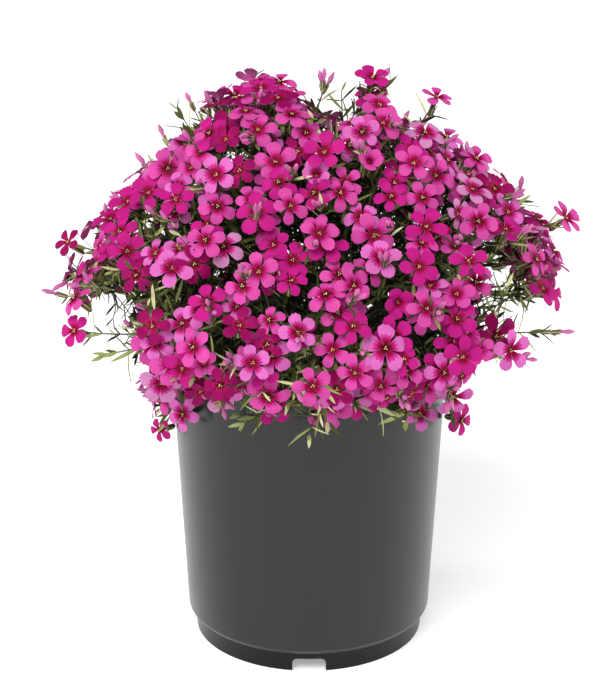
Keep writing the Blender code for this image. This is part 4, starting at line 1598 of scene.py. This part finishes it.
def flower_tint(rng, tip):
    """Colour of a whole flower: most are clear pink, and one place has bleached ones."""
    draw, fade = rng.random(), rng.random()
    near = (tip - FADED_PLACE.middle).length < FADED_PLACE.reach
    if fade < (FADED_PLACE.share if near else FADED_ELSEWHERE):
        return "faded"
    for tint, limit in TINT_SHARES:
        if draw < limit:
            return tint
    return "rose"


@functools.lru_cache(maxsize=1)
def flower_parts():
    """Spots of every flower part, from the shoots that end in a flower."""
    _, shoots, finer = grown_crown()
    names = (*FLOWER_TINTS, "petal", "blush", "eye", "anther", "tube", "calyx")
    parts = {name: [] for name in names}
    for row in shoots + finer:
        if not row.radius:
            continue
        rng = random.Random(SEED * 11003 + row.order)
        tip, facing, side = row.path[-1], row.facing, row.side
        tint = flower_tint(rng, tip)
        rise = radians(rng.uniform(*PETAL_RISE))
        if row.order > MAIN_COUNT and rng.random() < CUPPED_SHARE:
            rise = radians(rng.uniform(*CUPPED_RISE))
        reach = row.radius * rng.uniform(*PETAL_REACH)
        for petal in range(5):
            turn = tau * petal / 5.0 + FIRST_PETAL + rng.uniform(-PETAL_STRAY, PETAL_STRAY)
            out = swung(side, facing, turn)
            lift = rise + radians(rng.uniform(-PETAL_TILT, PETAL_TILT))
            along = out * cos(lift) + facing * sin(lift)
            up = facing * cos(lift) - out * sin(lift)
            up += up.cross(along) * rng.uniform(-PETAL_ROLL, PETAL_ROLL)
            length = reach * rng.uniform(*PETAL_LENGTHS)
            size = (length, reach * rng.uniform(*PETAL_BREADTHS), reach)
            for part in (tint, "petal", "blush") if tint in PALE_TINTS else (tint, "petal"):
                parts[part].append(Spot(tip, up.normalized(), along, size))
        parts["eye"].append(Spot(tip + facing * EYE_LIFT, facing, side, (reach,) * 3))
        for step in range(3):
            turn = tau * step / 3.0 + rng.uniform(-ANTHER_STRAY, ANTHER_STRAY)
            out = swung(side, facing, turn)
            at = tip + out * ANTHER_OUT + facing * rng.uniform(*ANTHER_LIFT)
            parts["anther"].append(Spot(at, facing, side, ANTHER_SIZE))
        parts["tube"].append(Spot(tip, side, -facing, (CUP_LENGTH, TUBE_RADIUS, TUBE_RADIUS)))
        base = tip - facing * CUP_BACK
        parts["calyx"].append(Spot(base, side, facing, (CUP_LENGTH, CUP_RADIUS, CUP_RADIUS)))
    return parts


PETAL_ROWS = (0.0, 0.16, 0.34, 0.50, 0.66, 0.81, 0.93, 1.0)
BACK_ROWS = (0.0, 0.34, 0.66, 0.9, 1.0)
BACK_LIFT = -0.016
# marks on a petal's foot: name, the petals that have it, rows of reach, half width and the
# depth between rays, and how far it lies over the petal
MARK_FOOT = (0.08, 0.060, 0.0)
MARKS = (
    ("blush", "blush", ((0.26, 0.160, 0.0), (0.40, 0.22, 0.0), (0.58, 0.22, 0.09)), 0.010),
    ("halo", "petal", ((0.25, 0.145, 0.0), (0.34, 0.17, 0.0), (0.45, 0.15, 0.08)), 0.016),
    ("flush", "petal", ((0.18, 0.105, 0.0), (0.25, 0.125, 0.0), (0.34, 0.11, 0.07)), 0.022),
)
# an eye: how far in its middle lies, the reach of its rays and of the places between them,
# and how far these stand out
EYE_DIP = -0.02
EYE_REACHES = (0.250, 0.140, 0.185, 0.140)
EYE_POINTS = 5 * len(EYE_REACHES)
EYE_RISE = 0.014
# rows of a calyx from its foot: share of its length, radius, and half the width of a rib
CUP_ROWS = ((0.0, 0.45), (0.2, 0.85), (0.55, 0.90))
CUP_GROOVE = 0.82
CUP_TEETH = 1.15
RIB_ROWS = ((0.02, 0.50, 0.10), (0.2, 0.93, 0.16), (0.55, 0.99, 0.16))
RIB_TIP = (1.02, 1.24)
# spindles: share of their length, radius
ANTHER_ROWS = ((-1.0, 0.0), (-0.5, 0.86), (0.5, 0.86), (1.0, 0.0))
TUBE_ROWS = ((0.0, 1.0), (0.25, 0.75), (1.0, 0.9))
BUD_ROWS = ((0.0, 0.5), (0.3, 0.55), (0.62, 1.0), (0.84, 0.62), (1.0, 0.0))
BUD_TWIST = 1.4
BUD_LEAN = 0.45
BUD_COUNTS = (1, 2, 2, 3)
BUD_STEP = 0.08
BUD_LENGTHS = (0.8, 1.2)
BUD_RADIUS = 0.0015
# shares of a bud's length: its calyx, and where in it the bud begins
BUD_CUP = 0.62
BUD_START = 0.3


def eye_template():
    """A ten-pointed maroon ring round the throat, a shallow cone."""
    verts = [(0.0, 0.0, EYE_DIP)]
    for step in range(EYE_POINTS):
        reach = EYE_REACHES[step % len(EYE_REACHES)]
        verts.append(polar(reach, tau * step / EYE_POINTS + FIRST_PETAL, EYE_RISE))
    faces = [(0, step + 1, (step + 1) % EYE_POINTS + 1) for step in range(EYE_POINTS)]
    return new_object("eye", mesh_from("eye", verts, faces))


def ring(share, radii, twist=0.0):
    """Points round X at a share of its length, one for each radius."""
    angles = [tau * step / len(radii) + twist for step in range(len(radii))]
    return [(share, reach * cos(turn), reach * sin(turn)) for reach, turn in zip(radii, angles)]


def spindle_template(name, table, sides, twist=0.0):
    """A closed spindle along X from shares of its length and radii."""
    verts, faces = [], []
    for share, radius in table:
        verts += ring(share, [radius] * sides, twist * share)
    for row in range(len(table) - 1):
        faces += band_faces(row * sides, sides)
    return repaired(name, verts, faces, weld, fill_holes, turn_outwards)


def rib_template():
    """Five pale ribs that run up a calyx and out along its teeth, in the calyx's own measures."""
    verts, faces = [], []
    for rib in range(5):
        angle = tau * rib / 5.0
        out = Vector((0.0, cos(angle), sin(angle)))
        side = Vector((0.0, -sin(angle), cos(angle)))
        start = len(verts)
        for share, radius, half in RIB_ROWS:
            for way in (-half, half):
                verts.append(Vector((share, 0.0, 0.0)) + out * radius + side * way)
        verts.append(Vector((RIB_TIP[0], 0.0, 0.0)) + out * RIB_TIP[1])
        faces += [(start + row, start + row + 1, start + row + 3, start + row + 2) for row in (0, 2)]
        faces.append((start + 4, start + 5, start + 6))
    return new_object("rib", mesh_from("rib", verts, faces))


def calyx_template():
    """A slim ribbed cup with five pointed teeth, along X, one unit long and in radius."""
    verts = []
    for share, radius in CUP_ROWS:
        verts += ring(share, [radius, radius * CUP_GROOVE] * 5)
    rim = len(verts) - 10
    faces = band_faces(0, 10) + band_faces(10, 10)
    for tooth in range(5):
        middle = rim + 2 * tooth
        tip = len(verts) + tooth
        faces.append((rim + (2 * tooth - 1) % 10, middle, tip))
        faces.append((middle, middle + 1, tip))
    verts += ring(1.0, [CUP_TEETH] * 5)
    return new_object("calyx", mesh_from("calyx", verts, faces))


class PHLOX_OT_petals(bpy.types.Operator):
    """Set five petals on every flower, with their backs and their deep pink feet"""
    bl_idname = "phlox.petals"
    bl_label = "Petals"

    def execute(self, context):
        look = context.scene.phlox_flower
        parts = flower_parts()
        face = petal_template("petal_face", PETAL_ROWS, 0.0)
        for tint in FLOWER_TINTS:
            skin = thin_tissue("petal_" + tint, getattr(look, tint), PETAL_SKIN)
            strew("petals_" + tint, parts[tint], face, skin, look.petal_ruffle)
        back = petal_template("back", BACK_ROWS, BACK_LIFT)
        sheets = [("petal_backs", "petal", back, look.back_pink)]
        for name, part, rows, lift in MARKS:
            mark = mark_template(name, (MARK_FOOT, *rows), lift)
            sheets.append(("petal_" + name, part, mark, getattr(look, name)))
        for name, part, template, colour in sheets:
            skin = thin_tissue(name + "_tissue", colour, MARK_SKIN)
            strew(name, parts[part], template, skin, look.petal_ruffle)
        for template in (face, *(sheet[2] for sheet in sheets)):
            bpy.data.objects.remove(template)
        return {"FINISHED"}


class PHLOX_OT_throats(bpy.types.Operator):
    """Set the eye, anthers, tube and calyx of every flower"""
    bl_idname = "phlox.throats"
    bl_label = "Eyes, Anthers, Tubes and Calyces"

    def execute(self, context):
        look = context.scene.phlox_flower
        parts = flower_parts()
        anther = spindle_template("anther", ANTHER_ROWS, 5)
        tube = spindle_template("tube", TUBE_ROWS, 5)
        kinds = (
            ("flower_eyes", "eye", eye_template(), look.eye, 0.0),
            ("anthers", "anther", anther, look.anther, 0.1),
            ("flower_tubes", "tube", tube, look.tube, 0.2),
            ("calyces", "calyx", calyx_template(), look.calyx, 0.1),
            ("calyx_ribs", "calyx", rib_template(), look.rib, 0.2),
        )
        for name, part, template, colour, glow in kinds:
            skin = thin_tissue(name + "_tissue", colour, THROAT_SKIN._replace(glow=glow))
            strew(name, parts[part], template, skin)
            bpy.data.objects.remove(template)
        return {"FINISHED"}


class PHLOX_OT_buds(bpy.types.Operator):
    """Set furled buds and their calyces on the shoots that haven't opened"""
    bl_idname = "phlox.buds"
    bl_label = "Buds"

    def execute(self, context):
        look = context.scene.phlox_flower
        buds, cups = bud_spots()
        bud = spindle_template("bud", BUD_ROWS, 6, BUD_TWIST)
        kinds = (
            ("buds", buds, bud, "furled_petal", look.bud, BUD_SKIN),
            ("bud_cups", cups, calyx_template(), "bud_calyx", look.calyx, CUP_SKIN),
            ("bud_ribs", cups, rib_template(), "bud_rib", look.rib, RIB_SKIN),
        )
        for name, spots, template, skin_name, colour, skin in kinds:
            strew(name, spots, template, thin_tissue(skin_name, colour, skin))
            bpy.data.objects.remove(template)
        return {"FINISHED"}


def bud_spots():
    """Spots of the buds and of their calyces, one to three on each shoot."""
    _, shoots, finer = grown_crown()
    buds, cups = [], []
    for row in shoots + finer:
        if row.radius or row.size == 0.0:
            continue
        rng = random.Random(SEED * 13001 + row.order)
        for step in range(rng.choice(BUD_COUNTS)):
            lean = any_way(rng) * BUD_LEAN
            aim = (row.facing + lean * (step > 0)).normalized()
            at = point_along(row.path, 1.0 - BUD_STEP * step)
            length = BUD_LENGTH * rng.uniform(*BUD_LENGTHS)
            side = aim.orthogonal().normalized()
            cups.append(Spot(at, side, aim, (length * BUD_CUP, BUD_RADIUS, BUD_RADIUS)))
            start = at + aim * length * BUD_START
            buds.append(Spot(start, side, aim, (length, BUD_RADIUS, BUD_RADIUS)))
    return buds, cups


# ---- stage


LIGHT_AIM = Vector((0.0, 0.0, 0.24))
CAMERA_AT = (-0.0054, -1.2, 0.6118)
CAMERA_TILT = radians(90.0 - 19.599)
# soft lights: name, the setting that powers it, its share of that, its size and its place
SOFT_LIGHTS = (
    ("key_softbox", "key_power", 1.0, (1.8, 1.3), (-0.5, -1.3, 1.7)),
    ("left_softbox", "side_power", 1.0, (0.4, 1.4), (-1.5, 0.1, 0.7)),
    ("right_softbox", "side_power", 1.6, (0.4, 1.4), (1.4, 0.25, 0.7)),
)
# a broad tray of paper, whose rim keeps it in view behind the pot from low down
FLOOR_REACH = 20.0
FLOOR_RIM = 1.2
FLOOR_GLOW = 0.35


def soft_light(name, power, size, at):
    lamp = bpy.data.lights.new(name, "AREA")
    lamp.energy = power
    lamp.shape = "RECTANGLE"
    lamp.size, lamp.size_y = size
    item = new_object(name, lamp)
    item.visible_camera = False
    item.location = at
    item.rotation_euler = (LIGHT_AIM - Vector(at)).to_track_quat("-Z", "Y").to_euler()


class PHLOX_OT_stage(bpy.types.Operator):
    """Set up the pale floor, the soft studio light and the camera"""
    bl_idname = "phlox.stage"
    bl_label = "Stage"

    def execute(self, context):
        look = context.scene.phlox_stage
        scene = context.scene
        scene.view_settings.view_transform = "Standard"
        square = ((-1, -1), (1, -1), (1, 1), (-1, 1))
        corners = [(x * FLOOR_REACH, y * FLOOR_REACH, z) for z in (0.0, FLOOR_RIM) for x, y in square]
        faces = [(0, 1, 2, 3)]
        for side in range(4):
            after = (side + 1) % 4
            faces.append((side, side + 4, after + 4, after))
        floor = new_object("studio_floor", mesh_from("studio_floor", corners, faces, smooth=False))
        floor.data.materials.append(plain_paper("matt_studio_paper", look.paper, FLOOR_GLOW))
        world = bpy.data.worlds.new("soft_room")
        world.use_nodes = True
        tree = world.node_tree
        tree.nodes.clear()
        links = {"Color": WHITE, "Strength": look.sky_strength}
        glow = add_node(tree, "ShaderNodeBackground", links)
        add_node(tree, "ShaderNodeOutputWorld", {"Surface": glow.outputs[0]})
        scene.world = world
        for name, power, share, size, at in SOFT_LIGHTS:
            soft_light(name, getattr(look, power) * share, size, at)
        camera = bpy.data.cameras.new("camera")
        camera.lens = look.lens
        camera.sensor_width = 36.0
        camera.clip_end = 100.0
        scene.camera = new_object("camera", camera)
        scene.camera.location = CAMERA_AT
        scene.camera.rotation_euler = (CAMERA_TILT, 0.0, 0.0)
        return {"FINISHED"}


# ---- add-on


SETTINGS = (
    ("phlox_pot", PhloxPotSettings),
    ("phlox_wood", PhloxWoodSettings),
    ("phlox_leaf", PhloxLeafSettings),
    ("phlox_flower", PhloxFlowerSettings),
    ("phlox_stage", PhloxStageSettings),
)
OPERATORS = (
    PHLOX_OT_stage,
    PHLOX_OT_pot,
    PHLOX_OT_growing_mix,
    PHLOX_OT_wood,
    PHLOX_OT_twigs,
    PHLOX_OT_leaves,
    PHLOX_OT_petals,
    PHLOX_OT_throats,
    PHLOX_OT_buds,
)


class PHLOX_PT_parts(bpy.types.Panel):
    """Lists the pieces of the potted phlox and their settings"""
    bl_idname = "PHLOX_PT_parts"
    bl_label = "Potted Creeping Phlox"
    bl_space_type = "VIEW_3D"
    bl_region_type = "UI"
    bl_category = "Phlox"

    def draw(self, context):
        for operator in OPERATORS:
            self.layout.operator(operator.bl_idname)
        for name, kind in SETTINGS:
            box = self.layout.box()
            box.label(text=kind.__doc__)
            for field in kind.__annotations__:
                box.prop(getattr(context.scene, name), field)


def register():
    for _, kind in SETTINGS:
        bpy.utils.register_class(kind)
    for kind in (*OPERATORS, PHLOX_PT_parts):
        bpy.utils.register_class(kind)
    for name, kind in SETTINGS:
        setattr(bpy.types.Scene, name, PointerProperty(type=kind))


def unregister():
    for name, _ in SETTINGS:
        delattr(bpy.types.Scene, name)
    for kind in (PHLOX_PT_parts, *OPERATORS):
        bpy.utils.unregister_class(kind)
    for _, kind in SETTINGS:
        bpy.utils.unregister_class(kind)


def main():
    register()
    for operator in OPERATORS:
        group, name = operator.bl_idname.split(".")
        getattr(getattr(bpy.ops, group), name)()


if __name__ == "__main__":
    main()
